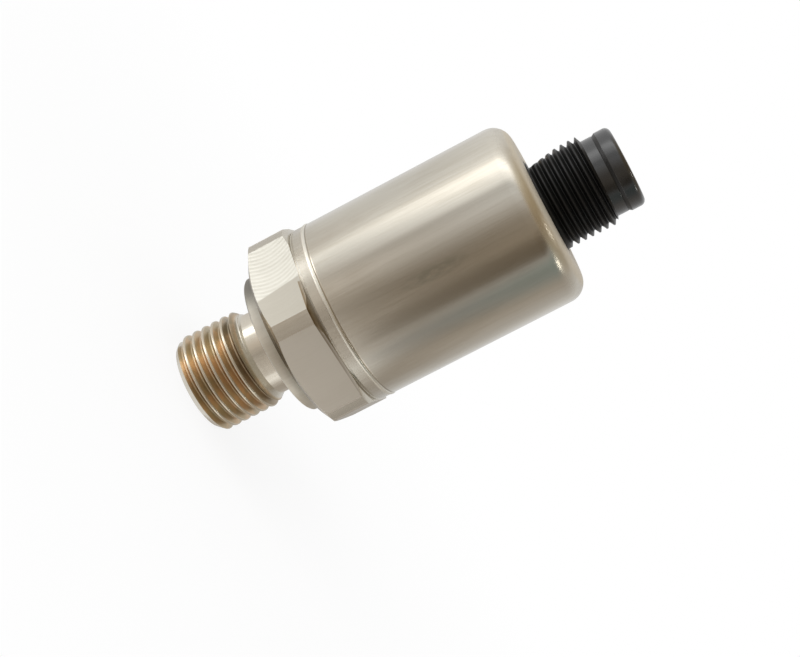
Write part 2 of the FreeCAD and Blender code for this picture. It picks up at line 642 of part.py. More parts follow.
os.makedirs("parts", exist_ok=True)
for name, shape in all_nodes().items():
    shape.exportStep(os.path.join("parts", name + ".step"))
    print("%-20s solids %d  volume %9.2f  valid %s" % (name, len(shape.Solids), shape.Volume,
                                                      shape.isValid()))
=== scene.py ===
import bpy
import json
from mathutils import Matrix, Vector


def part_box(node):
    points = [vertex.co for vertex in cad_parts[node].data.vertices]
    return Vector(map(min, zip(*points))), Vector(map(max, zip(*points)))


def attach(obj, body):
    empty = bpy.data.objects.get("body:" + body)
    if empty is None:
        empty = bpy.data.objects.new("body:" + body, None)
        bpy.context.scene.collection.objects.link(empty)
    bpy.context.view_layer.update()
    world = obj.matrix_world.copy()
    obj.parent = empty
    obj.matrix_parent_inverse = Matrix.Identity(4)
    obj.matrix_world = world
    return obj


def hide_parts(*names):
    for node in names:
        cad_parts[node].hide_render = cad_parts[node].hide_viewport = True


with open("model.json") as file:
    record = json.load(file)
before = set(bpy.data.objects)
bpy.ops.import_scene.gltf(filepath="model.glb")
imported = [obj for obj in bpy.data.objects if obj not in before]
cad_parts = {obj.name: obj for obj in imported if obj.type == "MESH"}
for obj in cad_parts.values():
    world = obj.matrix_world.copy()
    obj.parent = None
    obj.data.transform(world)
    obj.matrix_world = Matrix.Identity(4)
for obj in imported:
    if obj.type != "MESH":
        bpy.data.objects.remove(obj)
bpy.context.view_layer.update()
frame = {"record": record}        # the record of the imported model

"""Looks of a pressure transmitter: threaded steel port, drawn can and black plug connector.

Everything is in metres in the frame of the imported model: +Z runs from the process thread to the
connector, and the origin is the centre of the stud's front face.
"""

import json
import logging
import math
from dataclasses import dataclass, field
from enum import Enum
from functools import cached_property
from typing import Any, Callable, Iterable, Sequence

import bpy
from mathutils import Quaternion, Vector

logging.basicConfig(level=logging.INFO, format="%(message)s")
LOG = logging.getLogger("transmitter")

MM = 0.001
ROUND_STEPS = 160  # segments of the large turned pieces
MERGE_DISTANCE = 1e-7
CREASE_ANGLE = math.radians(30)
OVERCUT, OVERLAP = 0.3, 0.01  # how far a thread's cutter passes the crests, in depths and in pitches
FLATS, FLAT_TURN = 6, 60.0  # flats of the hexagon, and degrees from one to the next
MIX_FIRST, MIX_SECOND, MIX_RESULT = 6, 7, 2  # colour sockets of a Mix node

Material, Socket = bpy.types.Material, bpy.types.NodeSocket
Point = tuple[float, float]
Colour = tuple[float, float, float]


# ---- shader values and nodes
class Signal:
    """One number that varies over a surface, for use in Python arithmetic."""

    def __init__(self, bench: "ShaderBench", socket: Socket) -> None:
        """Wrap the output that carries the number, in the tree of this bench."""
        self.bench = bench
        self.socket = socket

    def _math(self, operation: str, *values: Any) -> "Signal":
        """Result of a Math node with these values, each a Signal or a number."""
        return self.bench.value("Math", {"operation": operation}, dict(enumerate(values)))

    def __add__(self, other: Any) -> "Signal":
        """Sum."""
        return self._math("ADD", self, other)

    __radd__ = __add__

    def __sub__(self, other: Any) -> "Signal":
        """Difference."""
        return self._math("SUBTRACT", self, other)

    def __rsub__(self, other: Any) -> "Signal":
        """Difference from a number."""
        return self._math("SUBTRACT", other, self)

    def __mul__(self, other: Any) -> "Signal":
        """Product."""
        return self._math("MULTIPLY", self, other)

    __rmul__ = __mul__

    def __truediv__(self, other: Any) -> "Signal":
        """Quotient."""
        return self._math("DIVIDE", self, other)

    def sine(self) -> "Signal":
        """Sine of the value in radians."""
        return self._math("SINE", self)

    def root(self) -> "Signal":
        """Square root."""
        return self._math("SQRT", self)

    def turn_from(self, forward: "Signal") -> "Signal":
        """Share of a full turn from the forward direction, from -0.5 to 0.5, with this as the side."""
        return self._math("ARCTAN2", self, forward) / math.tau

    def at_most(self, other: Any) -> "Signal":
        """Smaller of the two."""
        return self._math("MINIMUM", self, other)

    def at_least(self, other: Any) -> "Signal":
        """Larger of the two."""
        return self._math("MAXIMUM", self, other)

    def rise(self, low: float, high: float) -> "Signal":
        """Smooth step.

        Args:
            low: Value that gives 0.
            high: Value that gives 1, above or below low.

        Returns:
            The step, from 0 to 1.
        """
        settings = {"interpolation_type": "SMOOTHSTEP", "clamp": True}
        start, end = (0.0, 1.0) if low < high else (1.0, 0.0)
        return self.bench.value("MapRange", settings, {
            "Value": self, "From Min": min(low, high), "From Max": max(low, high), "To Min": start,
            "To Max": end})

    def ramp(self, low: float, high: float) -> "Signal":
        """Straight run from 0 at the low value to 1 at the high one."""
        ends = {"Value": self, "From Min": low, "From Max": high}
        return self.bench.value("MapRange", {"clamp": True}, ends)

    def band(self, start: float, end: float, edge: float) -> "Signal":
        """1 between start and end, falling to 0 over the width of an edge on both sides."""
        return self.rise(start - edge, start) * self.rise(end + edge, end)


class ShaderBench:
    """Builds the node tree of one material or world."""

    def __init__(self, owner: Material | bpy.types.World) -> None:
        """Start with an empty tree in this material or world."""
        self.owner = owner
        owner.use_nodes = True
        self.tree = owner.node_tree
        self.tree.nodes.clear()

    @classmethod
    def named(cls, name: str) -> "ShaderBench":
        """Bench of a new material of this name."""
        return cls(bpy.data.materials.new(name))

    @cached_property
    def place(self) -> Socket:
        """Object coordinates."""
        return self.node("TexCoord", {}, {}).outputs["Object"]

    @cached_property
    def axes(self) -> tuple[Signal, Signal, Signal]:
        """Object coordinates one by one."""
        x, y, z = self.node("SeparateXYZ", {}, {0: self.place}).outputs
        return Signal(self, x), Signal(self, y), Signal(self, z)

    @property
    def x(self) -> Signal:
        """Place along X."""
        return self.axes[0]

    @property
    def y(self) -> Signal:
        """Place along Y."""
        return self.axes[1]

    @property
    def z(self) -> Signal:
        """Height."""
        return self.axes[2]

    @cached_property
    def radius(self) -> Signal:
        """Distance from the Z axis."""
        return (self.x * self.x + self.y * self.y).root()

    def towards(self, degrees: float) -> Signal:
        """Distance from the axis in a direction about +Z, counted from +X."""
        angle = math.radians(degrees)
        return self.x * math.cos(angle) + self.y * math.sin(angle)

    def node(self, kind: str, settings: dict[str, Any], sockets: dict[Any, Any]) -> bpy.types.Node:
        """Add a node.

        Args:
            kind: Type of the node, without ShaderNode.
            settings: Properties; "stops" fills a colour ramp.
            sockets: Value, Signal or output of each input, by name or number.

        Returns:
            The new node.
        """
        made = self.tree.nodes.new("ShaderNode" + kind)
        for key, value in settings.items():
            if key == "stops":
                self._fill_ramp(made.color_ramp, value)
            else:
                setattr(made, key, value)
        for key, value in sockets.items():
            socket = made.inputs[key]
            if isinstance(value, Signal):
                self.tree.links.new(value.socket, socket)
            elif isinstance(value, Socket):
                self.tree.links.new(value, socket)
            else:
                socket.default_value = value
        return made

    def value(self, kind: str, settings: dict[str, Any], sockets: dict[Any, Any]) -> Signal:
        """Add a node like node(), and use its first output as a number."""
        return Signal(self, self.node(kind, settings, sockets).outputs[0])

    @staticmethod
    def _fill_ramp(ramp: bpy.types.ColorRamp, stops: Sequence[tuple[float, Sequence[float]]]) -> None:
        """Set the stops of a colour ramp.

        Args:
            ramp: The ramp, with its two first stops.
            stops: Place and colour of each stop.
        """
        while len(ramp.elements) < len(stops):
            ramp.elements.new(0.5)
        for element, (place, colour) in zip(ramp.elements, stops):
            element.position = place
            element.color = (*colour, 1.0)

    def noise(self, scale: Sequence[float], detail: float = 3.0, rough: float = 0.55,
              warp: float = 0.0) -> Signal:
        """Noise on Object coordinates.

        Args:
            scale: Cells per metre along X, Y and Z.
            detail: Octaves.
            rough: Share that each finer octave keeps.
            warp: Distortion.

        Returns:
            The noise, from 0 to 1 and near 0.5 on average.
        """
        stretched = self.node("Mapping", {}, {"Vector": self.place, "Scale": scale}).outputs[0]
        return self.value("TexNoise", {}, {"Vector": stretched, "Scale": 1.0, "Detail": detail,
                                           "Roughness": rough, "Distortion": warp})

    def mixed(self, share: Any, first: Any, second: Any) -> Socket:
        """Mix two colours.

        Args:
            share: Share of the second colour.
            first: Colour or colour output at share 0.
            second: Colour or colour output at share 1.

        Returns:
            The mixed colour.
        """
        first, second = [(*c, 1.0) if isinstance(c, tuple) else c for c in (first, second)]
        sockets = {0: share, MIX_FIRST: first, MIX_SECOND: second}
        return self.node("Mix", {"data_type": "RGBA"}, sockets).outputs[MIX_RESULT]

    def layered(self, colour: Any, *layers: tuple[Any, Any]) -> Any:
        """Lay colours over a first one.

        Args:
            colour: The colour below.
            *layers: Share and colour of each further layer.

        Returns:
            The colour on top.
        """
        for share, above in layers:
            colour = self.mixed(share, colour, above)
        return colour

    def bumped(self, height: Signal, depth: float, below: Any = None) -> Socket:
        """Normal of a surface with this relief.

        Args:
            height: Relief, from 0 to 1.
            depth: Depth of the relief in metres.
            below: Normal that the relief lies on.

        Returns:
            The normal.
        """
        sockets = {"Strength": 1.0, "Distance": depth, "Height": height}
        if below is not None:
            sockets["Normal"] = below
        return self.node("Bump", {}, sockets).outputs[0]

    def surface(self, sockets: dict[Any, Any], kind: str = "BsdfPrincipled") -> Material:
        """Finish the material with one shader.

        Args:
            sockets: Value or link of each input of the shader.
            kind: Type of the shader's node.

        Returns:
            The material.
        """
        shader = self.node(kind, {}, sockets)
        self.node("OutputMaterial", {}, {"Surface": shader.outputs[0]})
        return self.owner

    def metal(self, colour: Any, roughness: Any, normal: Any, metallic: Any = 1.0) -> Material:
        """Finish the material as a metal of this colour, roughness and normal."""
        return self.surface({"Base Color": colour, "Roughness": roughness, "Normal": normal,
                             "Metallic": metallic})

    def glow(self, colour: Any, strength: float = 1.0) -> Material:
        """Finish the material as a light of this colour, which is a tuple or an output."""
        colour = (*colour, 1.0) if isinstance(colour, tuple) else colour
        return self.surface({"Color": colour, "Strength": strength}, "Emission")


# ---- finishes
@dataclass(frozen=True)
class SteelFinish:
    """Bare stainless steel, slightly warm, with fine marks along the axis."""

    tone: Colour = (0.60, 0.565, 0.49)
    tarnish: Colour = (0.42, 0.37, 0.29)
    roughness: float = 0.17
    streak_cells: tuple[float, float, float] = (1700.0, 1700.0, 55.0)
    streak_depth: float = 5e-6
    streak_tone: float = 0.5
    scratch_cells: tuple[float, float, float] = (5200.0, 5200.0, 170.0)
    scratch_depth: float = 2.0e-6

    def body(self, bench: ShaderBench) -> tuple[Any, Signal, Any]:
        """Colour, roughness and normal that every steel surface shares.

        Args:
            bench: The bench to build on.

        Returns:
            Base colour, roughness and normal.
        """
        streaks = bench.noise(self.streak_cells, detail=4.0, rough=0.6)
        scratches = bench.noise(self.scratch_cells, detail=3.0, rough=0.7)
        clouds = bench.noise((170.0, 170.0, 60.0), detail=3.0, warp=0.4)
        share = (streaks - 0.5) * self.streak_tone + (scratches - 0.5) * 0.7 + clouds.rise(0.42, 0.75) * 0.3
        colour = bench.mixed(share, self.tone, self.tarnish)
        roughness = self.roughness + (streaks - 0.5) * 0.12 + (clouds - 0.5) * 0.08
        normal = bench.bumped(scratches, self.scratch_depth, bench.bumped(streaks, self.streak_depth))
        return colour, roughness, normal


@dataclass(frozen=True)
class MouldedFinish:
    """Black or natural moulded plastic with a fine grain."""

    name: str
    tone: Colour
    worn: Colour
    roughness: float = 0.42
    grain_cells: float = 9000.0
    grain_depth: float = 1.2e-6
    shine: float = 0.35

    def make(self) -> Material:
        """Build the plastic."""
        bench = ShaderBench.named(self.name)
        grain = bench.noise((self.grain_cells,) * 3, detail=2.0)
        clouds = bench.noise((420.0,) * 3, detail=4.0, warp=0.3)
        colour = bench.mixed(clouds.rise(0.45, 0.8) * 0.6, self.tone, self.worn)
        return bench.surface({
            "Base Color": colour, "Roughness": self.roughness + (clouds - 0.5) * 0.16,
            "Normal": bench.bumped(grain, self.grain_depth), "Specular IOR Level": self.shine})


@dataclass(frozen=True)
class PlatedFinish:
    """Plated or blackened metal of a small inner piece."""

    name: str
    tone: Colour
    dulled: Colour
    roughness: float = 0.28

    def make(self) -> Material:
        """Build the metal."""
        bench = ShaderBench.named(self.name)
        clouds = bench.noise((900.0,) * 3, detail=3.0)
        lines = bench.noise((2500.0, 2500.0, 160.0), detail=2.0)
        return bench.metal(bench.mixed(clouds.rise(0.4, 0.8), self.tone, self.dulled),
                           self.roughness + (lines - 0.5) * 0.2, bench.bumped(lines, 0.8e-6))


@dataclass(frozen=True)
class MattFinish:
    """Ceramic, rubber, laminate or moulding compound."""

    name: str
    tone: Colour
    shade: Colour
    roughness: float = 0.6
    cells: float = 2200.0
    depth: float = 3e-6

    def make(self) -> Material:
        """Build the material."""
        bench = ShaderBench.named(self.name)
        grain = bench.noise((self.cells,) * 3, detail=4.0)
        clouds = bench.noise((self.cells / 9,) * 3, detail=2.0)
        return bench.surface({
            "Base Color": bench.mixed(clouds.rise(0.35, 0.75), self.tone, self.shade),
            "Roughness": self.roughness + (grain - 0.5) * 0.2,
            "Normal": bench.bumped(grain, self.depth)})


# ---- modelling
def millimetres(points: Iterable[Point]) -> list[Point]:
    """Outline in metres from one in millimetres."""
    return [(r * MM, z * MM) for r, z in points]


def arc(centre: Point, radius: float, start: float, end: float, steps: int) -> list[Point]:
    """Points of an arc between two angles in degrees from the outward direction, both ends included."""
    angles = [math.radians(start + (end - start) * k / steps) for k in range(steps + 1)]
    return [(centre[0] + radius * math.cos(a), centre[1] + radius * math.sin(a)) for a in angles]


def stairs(height: float, steps: Iterable[Point]) -> list[Point]:
    """Points of a stepped outline.

    Args:
        height: Height at which it starts.
        steps: Radius of each wall and the height that it runs to.

    Returns:
        The points, two for each wall.
    """
    points = []
    for radius, end in steps:
        points += [(radius, height), (radius, end)]
        height = end
    return points


def heading(degrees: float) -> Vector:
    """Unit vector in a direction about +Z, counted from +X."""
    return Vector((math.cos(math.radians(degrees)), math.sin(math.radians(degrees)), 0))


class Joining(Enum):
    """How one solid is joined with another."""

    CUT = "DIFFERENCE"
    ADD = "UNION"


class Workpiece:
    """One mesh object, shaped in edit mode."""

    def __init__(self, name: str) -> None:
        """Begin with a small plane at the origin, merged to one vertex.

        Args:
            name: Name of the piece.
        """
        Workpiece.rest()
        bpy.ops.mesh.primitive_plane_add(size=MM, location=(0, 0, 0))
        self.made = bpy.context.object
        self.made.name = name
        self.made.data.name = name
        bpy.ops.object.mode_set(mode="EDIT")
        bpy.ops.mesh.select_all(action="SELECT")
        bpy.ops.mesh.merge(type="CENTER")
        bpy.ops.object.mode_set(mode="OBJECT")

    @staticmethod
    def rest() -> None:
        """Leave edit mode with nothing selected."""
        if bpy.context.object and bpy.context.object.mode != "OBJECT":
            bpy.ops.object.mode_set(mode="OBJECT")
        bpy.ops.object.select_all(action="DESELECT")

    def take(self) -> None:
        """Select this piece alone and make it active."""
        Workpiece.rest()
        self.made.select_set(True)
        bpy.context.view_layer.objects.active = self.made

    def edit(self, *steps: Callable[[], Any], select: str = "") -> None:
        """Run edit-mode operators on the piece.

        Args:
            *steps: Calls to make in turn.
            select: What select_all does first, or nothing to keep the selection.
        """
        self.take()
        bpy.ops.object.mode_set(mode="EDIT")
        if select:
            bpy.ops.mesh.select_all(action=select)
        for step in steps:
            step()
        bpy.ops.object.mode_set(mode="OBJECT")

    def mark(self, vertices: set[int], edges: set[int]) -> None:
        """Select these vertices and edges alone."""
        mesh = self.made.data
        for items, wanted in ((mesh.vertices, vertices), (mesh.edges, edges), (mesh.polygons, set())):
            for item in items:
                item.select = item.index in wanted

    def trace(self, outline: Sequence[Vector], closed: bool = True) -> None:
        """Draw a line of edges from the first vertex.

        Args:
            outline: Corners of the line.
            closed: Whether the last corner joins the first.
        """
        def draw() -> None:
            """Move the vertex to the start and extrude it along the outline."""
            bpy.ops.transform.translate(value=outline[0])
            for before, after in zip(outline, outline[1:]):
                bpy.ops.mesh.extrude_region_move(TRANSFORM_OT_translate={"value": after - before})

        self.edit(draw, select="SELECT")
        if closed:
            self.mark({0, len(outline) - 1}, set())
            self.edit(bpy.ops.mesh.edge_face_add)

    def turn(self, steps: int = ROUND_STEPS) -> None:
        """Spin the outline once round the axis into a closed shell."""
        self.edit(lambda: bpy.ops.mesh.spin(steps=steps, angle=math.tau, center=(0, 0, 0), axis=(0, 0, 1)),
                  select="SELECT")
        self.tidy()

    def tidy(self) -> None:
        """Merge doubles and point all faces outwards."""
        self.edit(lambda: bpy.ops.mesh.remove_doubles(threshold=MERGE_DISTANCE),
                  lambda: bpy.ops.mesh.normals_make_consistent(inside=False), select="SELECT")

    def modify(self, kind: str, **settings: Any) -> None:
        """Add a modifier and apply it.

        Args:
            kind: Type of the modifier.
            **settings: Its properties.
        """
        self.take()
        modifier = self.made.modifiers.new(kind.lower(), kind)
        for key, value in settings.items():
            setattr(modifier, key, value)
        bpy.ops.object.modifier_apply(modifier=modifier.name)

    def soften(self, width: float, least_angle: float, wanted: Callable[[Vector], bool]) -> None:
        """Break sharp edges.

        Args:
            width: Width of the bevel.
            least_angle: Smallest angle between two faces that is bevelled, in degrees.
            wanted: Says from an edge's middle whether the edge is bevelled.
        """
        self.edit(
            lambda: bpy.ops.mesh.select_mode(type="EDGE"),
            lambda: bpy.ops.mesh.edges_select_sharp(sharpness=math.radians(least_angle)), select="DESELECT")
        mesh = self.made.data
        ends = {edge.index: edge.vertices[:] for edge in mesh.edges if edge.select}
        ends = {edge: (a, b) for edge, (a, b) in ends.items()
                if wanted((mesh.vertices[a].co + mesh.vertices[b].co) / 2)}
        self.mark({vertex for pair in ends.values() for vertex in pair}, set(ends))
        self.edit(
            lambda: bpy.ops.mesh.bevel(offset=width, segments=2, affect="EDGES", clamp_overlap=True),
            lambda: bpy.ops.mesh.select_mode(type="VERT"))

    def combine(self, other: "Workpiece", joining: Joining) -> None:
        """Cut away or add another piece, which is used up."""
        self.modify("BOOLEAN", object=other.made, operation=joining.value, solver="EXACT")
        bpy.data.objects.remove(other.made)

    def finish(self, materials: Sequence[Material],
               chooser: Callable[[Any], int] | None = None) -> bpy.types.Object:
        """Shade the piece and give it its materials.

        Args:
            materials: Materials in the order of the slots.
            chooser: Gives the slot of a face, where there is more than one.

        Returns:
            The finished object.
        """
        self.take()
        bpy.ops.object.shade_smooth_by_angle(angle=CREASE_ANGLE)
        self.modify("WEIGHTED_NORMAL", mode="FACE_AREA", weight=50, keep_sharp=True)
        for material in materials:
            self.made.data.materials.append(material)
        if chooser:
            for face in self.made.data.polygons:
                face.material_index = chooser(face)
        return self.made


def turned_piece(name: str, outline: Sequence[Point], steps: int = ROUND_STEPS) -> Workpiece:
    """Solid of revolution about the Z axis.

    Args:
        name: Name of the piece.
        outline: Closed outline of radius and height, in metres.
        steps: Segments round the axis.

    Returns:
        The piece.
    """
    piece = Workpiece(name)
    piece.trace([Vector((r, 0, z)) for r, z in outline])
    piece.turn(steps)
    return piece


def block_piece(name: str, side: Sequence[Point], width: float, degrees: float) -> Workpiece:
    """Block of one outline, as wide on both sides of a direction about +Z.

    Args:
        name: Name of the piece.
        side: Outline of distance from the axis and height, in metres.
        width: Whole width of the block.
        degrees: Direction that the distances are measured in.

    Returns:
        The piece.
    """
    out, along = heading(degrees), heading(degrees + 90)
    block = Workpiece(name)
    block.trace([out * r + Vector((0, 0, z)) - along * (width / 2) for r, z in side])
    block.edit(
        bpy.ops.mesh.edge_face_add,
        lambda: bpy.ops.mesh.extrude_region_move(TRANSFORM_OT_translate={"value": along * width}),
        select="SELECT")
    block.tidy()
    return block


@dataclass(frozen=True)
class ThreadGroove:
    """Helical groove of a right-handed thread, used as a cutting tool."""

    pitch: float
    crest_radius: float
    depth: float
    flank_angle: float  # degrees, from the plane across the axis
    crest_round: float
    root_round: float
    crest_height: float  # height of one crest at the start direction
    start_direction: float  # degrees about +Z
    steps_per_turn: int = 96
    round_steps: int = 4

    def outline(self) -> list[Point]:
        """Half of the groove's section and its mirror image, as radius and height from its middle."""
        steep = math.radians(90 - self.flank_angle)
        turns = [steep * k / self.round_steps for k in range(1, self.round_steps + 1)]
        root = [(self.depth - self.root_round * (1 - math.cos(t)), self.root_round * math.sin(t))
                for t in turns]
        crest = [(self.crest_round * (1 - math.cos(t)), self.crest_round * math.sin(t)) for t in turns]
        flank_end = root[-1][1] + (root[-1][0] - crest[-1][0]) / math.tan(steep)
        half = flank_end + crest[-1][1]
        depths = [(-OVERCUT * self.depth, half + OVERLAP * self.pitch), (0.0, half),
                  *((d, half - w) for d, w in crest), *reversed(root)]
        upper = [(self.crest_radius - d, w) for d, w in depths]
        return upper + [(r, -w) for r, w in reversed(upper)]

    def cutter(self, low: float, high: float) -> Workpiece:
        """Build the groove as a solid.

        Args:
            low: Height at which the middle of the groove starts, at the latest.
            high: Height that the middle of the groove reaches, at the least.

        Returns:
            The cutting tool.
        """
        middle = self.crest_height + self.pitch / 2
        middle -= math.ceil((middle - low) / self.pitch) * self.pitch
        turns = math.ceil((high - middle) / self.pitch)
        out = heading(self.start_direction)
        tool = Workpiece("thread_cutter")
        tool.trace([out * r + Vector((0, 0, middle + h)) for r, h in self.outline()])
        tool.modify("SCREW", axis="Z", angle=math.tau, screw_offset=self.pitch, iterations=turns,
                    steps=self.steps_per_turn, render_steps=self.steps_per_turn, use_merge_vertices=False,
                    use_normal_calculate=False)
        tool.edit(bpy.ops.mesh.select_non_manifold, lambda: bpy.ops.mesh.fill_holes(sides=0),
                  select="DESELECT")
        tool.tidy()
        return tool


# ---- process connection
@dataclass
class ProcessConnection:
    """Turned and milled steel piece: threaded stud, shoulder, hexagon, collar and cell pocket."""

    bore_mouth: float = 2.4 * MM
    front_radius: float = 5.8 * MM
    lead_length: float = 0.9 * MM
    thread: ThreadGroove = ThreadGroove(
        pitch=1.337 * MM, crest_radius=6.5785 * MM, depth=0.82 * MM, flank_angle=27.5,
        crest_round=0.14 * MM, root_round=0.18 * MM, crest_height=1.45 * MM, start_direction=-173.9)
    thread_end: float = 8.6 * MM
    runout_start: float = 8.0 * MM  # the last crest slopes down from here to the undercut
    undercut_radius: float = 5.56 * MM
    undercut_start: float = 9.3 * MM
    fillet: float = 0.35 * MM
    stud_length: float = 12.0 * MM
    shoulder_radius: float = 9.35 * MM
    shoulder_edge: float = 0.15 * MM
    neck_radius: float = 8.9 * MM
    neck_start: float = 13.5 * MM
    hex_start: float = 13.9 * MM
    hex_end: float = 20.6 * MM  # of its envelope, were there no groove behind it
    across_flats: float = 24.0 * MM
    corner_radius: float = 13.2564 * MM
    front_chamfer: float = 0.7 * MM
    chamfer_slope: float = math.tan(math.radians(30))
    relief_start: float = 20.25 * MM  # shallow groove between hexagon and collar
    relief_end: float = 20.55 * MM
    relief_depth: float = 0.1 * MM
    relief_corner: Point = (0.04 * MM, 0.05 * MM)  # slant in its front corner
    relief_wall: float = 0.06 * MM  # height of the groove's slanting rear wall
    walls: tuple[Point, ...] = (  # radius and end of each further wall, in millimetres
        (12.0, 21.75),  # collar that the can sits on
        (11.25, 26.85),  # spigot in the can
        (9.1, 25.85),  # mouth of the pocket
        (9.6, 24.8),  # groove of the snap ring
        (9.1, 17.0),  # pocket of the cell
        (7.165, 15.65), (4.635, 17.0),  # both walls of the seal groove
        (3.935, 16.6),  # recess under the cell
        (2.0, 0.4))  # pressure bore
    deep_flat: int = 4  # number of the flat that is milled into the collar
    deep_cut: float = 0.08 * MM
    deep_overrun: float = 0.06 * MM  # the deep flat ends this far behind the groove
    short_end: float = 0.08 * MM  # the others end this far before the groove's end
    flat_clearance: float = 0.003 * MM  # keeps the mills off the collar's surface
    mill_width: float = 18 * MM
    mill_height: float = 3 * MM
    mill_lead: float = 1.5 * MM  # in front of the hexagon
    feed: float = 0.56 * MM  # spacing of the milling marks
    cutter_radius: float = 5.0 * MM
    edge: float = 0.07 * MM
    edge_angle: float = 16.0
    flat_edge: float = -0.72 * MM  # where the fresh pass of the deep flat begins, across it
    flat_slant: float = 0.128
    # painted shade in the corner behind the hexagon: its colour, darkest side, start and length
    corner_shade_tone: Colour = (0.15, 0.105, 0.055)
    corner_shade_direction: float = -95.0  # side on which shade is painted behind the hexagon
    corner_shade_start: float = 19.9 * MM
    corner_shade_length: float = 0.75 * MM
    stain: Colour = (0.60, 0.41, 0.235)
    record_slot: str = "port_steel"

    def outline(self) -> list[Point]:
        """Turned outline, out along the stud and the hexagon's envelope and back through the bore."""
        flat, corner, shoulder = self.across_flats / 2, self.corner_radius, self.shoulder_radius
        groove, crest = flat - self.relief_depth, self.thread.crest_radius
        fillet = arc((self.undercut_radius + self.fillet, self.stud_length - self.fillet), self.fillet,
                     180, 90, 4)
        return [
            (self.bore_mouth, 0.0), (self.front_radius, 0.0), (crest, self.lead_length),
            (crest, self.runout_start), (self.undercut_radius, self.undercut_start), *fillet,
            (shoulder - self.shoulder_edge, self.stud_length),
            (shoulder, self.stud_length + self.shoulder_edge), (shoulder, self.neck_start),
            (self.neck_radius, self.neck_start), (self.neck_radius, self.hex_start),
            (flat - self.front_chamfer, self.hex_start),
            (corner, self.hex_start + (corner - flat + self.front_chamfer) * self.chamfer_slope),
            (corner, self.hex_end - (corner - flat) * self.chamfer_slope),
            (flat + (self.hex_end - self.relief_start) / self.chamfer_slope, self.relief_start),
            (groove + self.relief_corner[0], self.relief_start),
            (groove, self.relief_start + self.relief_corner[1]), (groove, self.relief_end - self.relief_wall),
            *stairs(self.relief_end, millimetres(self.walls))]

    def build(self) -> bpy.types.Object:
        """Turn the piece, mill the flats, break the edges and cut the thread.

        Returns:
            The finished object.
        """
        piece = turned_piece("port_body_steel", self.outline())
        for number in range(FLATS):
            piece.combine(self.mill(number), Joining.CUT)
        piece.tidy()
        piece.soften(self.edge, self.edge_angle, self.is_worn_edge)
        cutter = self.thread.cutter(-self.thread.pitch, self.undercut_start + 0.3 * MM)
        piece.combine(cutter, Joining.CUT)
        return piece.finish([self.turned_steel(), self.milled_steel(), self.thread_steel()], self.pick)

    def mill(self, number: int) -> Workpiece:
        """Block of metal that the milling of one flat takes away.

        Args:
            number: The flat, counted from +X.

        Returns:
            The block.
        """
        deep = number == self.deep_flat
        near = self.across_flats / 2 + (-self.deep_cut if deep else self.flat_clearance)
        top = self.relief_end + (self.deep_overrun if deep else -self.short_end)
        low, far = self.hex_start - self.mill_lead, near + self.mill_height
        return block_piece("milled_away", [(near, low), (far, low), (far, top), (near, top)],
                           self.mill_width, FLAT_TURN * number)

    def is_worn_edge(self, middle: Vector) -> bool:
        """True for the outer edges of shoulder and hexagon in front of the relief groove."""
        outer = middle.xy.length > self.undercut_radius + 0.1 * MM
        return outer and middle.z < self.relief_start + 0.01 * MM

    def pick(self, face: bpy.types.MeshPolygon) -> int:
        """Material slot of a face: 0 turned, 1 milled flat, 2 thread."""
        middle = face.center
        out = max(middle.dot(heading(FLAT_TURN * k)) for k in range(FLATS)) - self.across_flats / 2
        on_flat = abs(face.normal.z) < 0.05 and -0.1 * MM < out < 0.02 * MM
        deep = middle.z < self.relief_end + self.deep_overrun and out < -0.07 * MM
        if on_flat and (self.hex_start < middle.z < self.relief_start or deep):
            return 1
        threaded = middle.z < self.undercut_start - 0.1 * MM and middle.xy.length > 4 * MM
        return 2 if threaded else 0

    def turned_steel(self) -> Material:
        """Steel with fine rings left by the lathe, and painted shade on the front chamfer, on one side of the
        shoulder and behind the hexagon.
        """
        bench = ShaderBench.named("turned_steel")
        colour, roughness, normal = SteelFinish().body(bench)
        rings = bench.noise((260.0, 260.0, 7000.0), detail=2.0)
        # painted shade in the corner behind the hexagon
        corner_shade = self.painted_corner_shade(bench)
        # painted shade on the hexagon's front chamfer, over the neck between shoulder and hexagon
        front = bench.z.band(self.neck_start, self.neck_start + 1 * MM, 0.06 * MM)
        front *= bench.radius.rise(10.5 * MM, 11.2 * MM)
        undercut = bench.z.band(self.undercut_start - 0.2 * MM, self.stud_length, 0.2 * MM)
        undercut *= bench.radius.rise(6.4 * MM, 6.1 * MM)
        shoulder = bench.z.band(self.stud_length + 0.05 * MM, self.neck_start, 0.1 * MM)
        shoulder *= bench.radius.rise(9.6 * MM, 9.5 * MM)
        # painted shade on one side of the shoulder, where its highlight falls
        painted_shoulder_shade = shoulder * bench.towards(-150.0).ramp(5.5 * MM, 9.3 * MM)
        colour = bench.layered(colour, (painted_shoulder_shade, (0.20, 0.19, 0.165)), (front * 0.75, (0.14, 0.125, 0.095)),
                               (corner_shade, self.corner_shade_tone))
        roughness = roughness + (rings - 0.5) * 0.1 + 0.07 + corner_shade * 0.2 - undercut * 0.11 + shoulder * 0.22
        return bench.metal(colour, roughness, bench.bumped(rings, 0.8e-6, normal))

    def painted_corner_shade(self, bench: ShaderBench) -> Signal:
        """Share of painted shade in the corner behind the hexagon, thinning away from its darkest side and
        from the hexagon.

        Args:
            bench: The bench to build on.

        Returns:
            The share, from 0 to about 1.
        """
        flecks = bench.noise((900.0, 900.0, 500.0), detail=3.0)
        side = bench.towards(150.0).rise(-1.35 * MM, -1.7 * MM)
        shade_side = bench.towards(self.corner_shade_direction).ramp(4.0 * MM, 13.0 * MM) * side
        above = (bench.z - self.corner_shade_start) / self.corner_shade_length
        share = (shade_side - above).at_least(0.0).at_most(1.0) * above.rise(-0.08, 0.0)
        return share * side * bench.radius.rise(11.6 * MM, 11.8 * MM) * (0.7 + flecks * 0.6)

